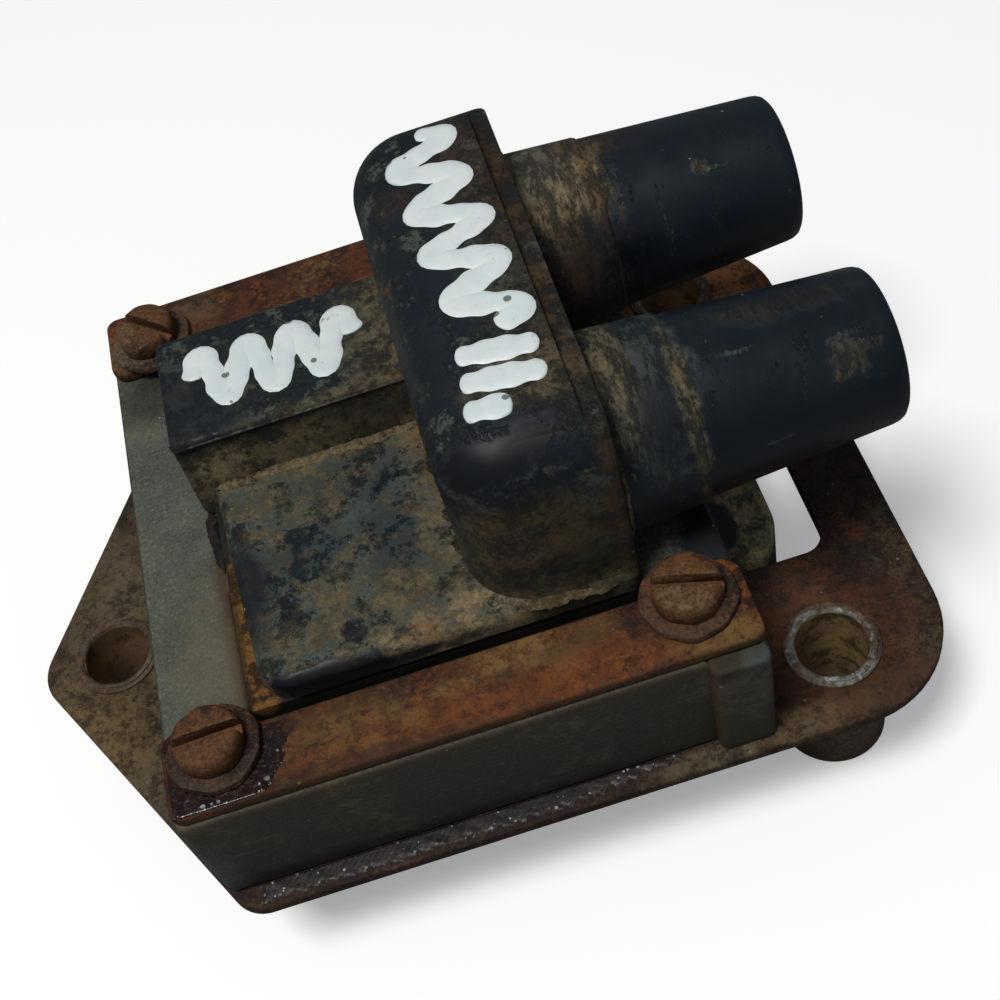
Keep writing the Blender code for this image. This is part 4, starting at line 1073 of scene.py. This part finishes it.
def tarSkin(name, dark, red, sparkle, glints, depth, rough):
    material, tree, shader, place = newMaterial(name)
    lumpy = noise(tree, place, 1300.0, 3.0, 0.6)
    colour = blend(tree, rise(tree, noise(tree, place, 260.0, 8.0, 0.75), 0.42, 0.6), dark, red)
    # Pale specks painted as sparkling highlights, thick within the glint patches
    dots = grainsOf(tree, place, 1500.0, sparkle, 0.36)
    thick = grainsOf(tree, place, 1150.0, 0.6, 0.5)
    for centre, reach, ragged, grain, edge in glints:
        patch = blotAt(tree, place, centre, reach, ragged, grain, edge)
        dots = calc(tree, "MAXIMUM", dots, times(tree, thick, patch))
    colour = blend(tree, times(tree, dots, rise(tree, lumpy, 0.4, 0.6, 0.25, 0.9)), colour, tarLook["grain"])
    tree.links.new(colour, shader.inputs["Base Color"])
    tree.links.new(rise(tree, lumpy, 0.35, 0.65, rough, rough + 0.25), shader.inputs["Roughness"])
    bump(tree, shader, plus(tree, lumpy, times(tree, noise(tree, place, 520.0, 4.0), 0.8)), depth)
    return material


def crust(name, along, low, high, baseZ, height, seed, inside, material):
    # A height field between two lines, each given as (x, y) corners: height times rounded grains, sinking
    # into its base where inside(x, y) falls below zero
    nx = int((along[1] - along[0]) / tarLook["cell"])
    x = np.linspace(along[0], along[1], nx)[:, None]
    low, high = [np.interp(x, *zip(*line)) for line in (low, high)]
    ny = int(np.max(high - low) / tarLook["cell"])
    t = np.linspace(0, 1, ny)[None]
    y = low * (1 - t) + high * t
    x = x + 0 * t
    flat = np.stack([x, y, np.zeros_like(x)], 2)
    grains = 0.6 + 0.2 * swell(flat, 1.3, seed + 1)
    rim = inside(x, y) + 0.5 * swell(flat, 1.9, seed + 2) + 0.35 * swell(flat, 0.7, seed + 4)
    sunk = baseZ - 0.12
    raisedBy = height * np.maximum(grains, 0.15) * np.clip(rim / 0.8, 0, 1) ** 0.5 + 0.015
    z = np.where(rim > 0, baseZ + raisedBy, sunk)
    z[[0, -1]] = sunk
    z[:, [0, -1]] = sunk
    top = np.stack([x, y, z], 2)
    base = np.stack([x, y, np.full_like(x, baseZ - 0.3)], 2)
    cell = (np.arange(nx - 1)[:, None] * ny + np.arange(ny - 1)[None]).reshape(-1)
    upper = np.stack([cell, cell + ny, cell + ny + 1, cell + 1], 1)
    lower = upper[:, ::-1] + nx * ny
    border = np.concatenate([np.arange(nx) * ny, (nx - 1) * ny + np.arange(1, ny),
                             np.arange(nx - 1)[::-1] * ny + ny - 1, np.arange(1, ny - 1)[::-1]])
    after = np.roll(border, -1)
    wall = np.stack([border, border + nx * ny, after + nx * ny, after], 1)
    points = np.concatenate([top.reshape(-1, 3), base.reshape(-1, 3)])
    return makePiece(name, points, np.concatenate([upper, lower, wall]), material, crease=75)


def onLedge(x, y):
    # Distance from the outer side, narrowing to nothing towards the right
    narrowing = 2.0 * np.clip((x - 6) / 16, 0, 1)
    return np.minimum((y - tarLook["ledgeOuter"]) * 1.2 - 0.5 - narrowing, (x - tarLook["from"]) * 0.6)


def roundScrew(x, y):
    # Distance inside a circle about the front left screw
    return tarLook["reach"] - np.hypot(x - tarLook["screw"][0], y - tarLook["screw"][1])


ledgeTar = tarSkin("tar_black", (0.0035, 0.003, 0.0035), (0.012, 0.0055, 0.0045), 0.34, (), 0.07, 0.42)
# Patches thick with painted glints: (centre, reach, ragged, grain, edge)
glints = [((-29.5, -39.2, stripTop), (6.5, 0.9, 2), 0.8, 300.0, 0.4),
          ((-34.5, -38.2, stripTop), (2.6, 1.2, 2), 1.0, 300.0, 0.5)]
screwTar = tarSkin("tar_red", (0.006, 0.0022, 0.0018), (0.024, 0.0052, 0.0032), 0.06, glints, 0.14, 0.1)
start, stop = tarLook["from"], tarLook["to"]
outerLine = [(start, tarLook["ledgeOuter"]), (stop, tarLook["ledgeOuter"])]
innerLine = [(start, tarLook["ledgeInner"]), (stop, tarLook["ledgeInner"])]
crust("tar_ledge", (start, stop), outerLine, innerLine, plateTop + 0.01, 0.2, 0.3, onLedge, ledgeTar)
outerLine, innerLine = [(-37.6, -40.1), (-22.2, -40.1)], [(-26.6, -29.3), (-25.4, -31.4)]
crust("tar_strip", (-37.6, -22.2), outerLine, innerLine, stripTop + 0.01, 0.10, 1.3, roundScrew, screwTar)
print("dirt and tar done")

# Pieces that stay as they came, with fuller finishes
plain = {
    "nut_": ((0.05, 0.035, 0.024), (0.13, 0.11, 0.085), (0.15, 0.07, 0.03), 0.3),
    "tower_terminal": ((0.12, 0.075, 0.02), (0.42, 0.29, 0.10), (0.30, 0.16, 0.05), 0.9),
    "connector_blade": ((0.12, 0.075, 0.02), (0.42, 0.29, 0.10), (0.30, 0.16, 0.05), 0.9),
    "primary_winding": ((0.20, 0.07, 0.03), (0.42, 0.17, 0.07), (0.5, 0.22, 0.10), 0.9),
    "secondary_winding": ((0.16, 0.05, 0.02), (0.34, 0.13, 0.05), (0.42, 0.18, 0.08), 0.9),
    "winding_bobbin": ((0.16, 0.09, 0.03), (0.30, 0.18, 0.07), (0.36, 0.22, 0.09), 0.0),
    "potting_resin": ((0.012, 0.008, 0.006), (0.035, 0.022, 0.014), (0.06, 0.035, 0.02), 0.0),
    "core_gap_shim": ((0.18, 0.12, 0.05), (0.32, 0.23, 0.11), (0.38, 0.28, 0.14), 0.0)}
for name, node in nodes.items():
    for start, (dark, middle, bright, metal) in plain.items():
        if name.startswith(start):
            depth = 0.06 if metal > 0.5 else 0.15
            skin = rustySteel("finish_" + name, dark, middle, bright, tones["tan"], 0.4, 0.2, 0.3,
                              depth=depth, metal=metal)
            node.data.materials.clear()
            node.data.materials.append(skin)

# Floor: white and faintly glowing where it is seen, a dull grey where it lights the piece
floor = {"half": 3, "drop": 0.0001, "colour": (0.93, 0.93, 0.93), "glow": 0.3, "unseen": (0.22, 0.22, 0.22)}
floorSkin = bpy.data.materials.new("floor")
floorSkin.use_nodes = True
tree = floorSkin.node_tree
shader = tree.nodes["Principled BSDF"]
shader.inputs["Base Color"].default_value = (*floor["colour"], 1.0)
shader.inputs["Roughness"].default_value = 0.9
shader.inputs["Specular IOR Level"].default_value = 0.1
dim = addNode(tree, "BsdfDiffuse", {"Color": floor["unseen"]})
shader.inputs["Emission Color"].default_value = (1.0, 1.0, 1.0, 1.0)
shader.inputs["Emission Strength"].default_value = floor["glow"]
pick = addNode(tree, "MixShader", {0: addNode(tree, "LightPath").outputs["Is Camera Ray"], 1: dim.outputs[0],
                                   2: shader.outputs[0]})
tree.links.new(pick.outputs[0], tree.nodes["Material Output"].inputs["Surface"])
mesh = bpy.data.meshes.new("floor")
half = floor["half"]
mesh.from_pydata([(-half, -half, 0), (half, -half, 0), (half, half, 0), (-half, half, 0)], [], [(0, 1, 2, 3)])
mesh.materials.append(floorSkin)
ground = bpy.data.objects.new("floor", mesh)
ground.location.z = -floor["drop"]
scene.collection.objects.link(ground)
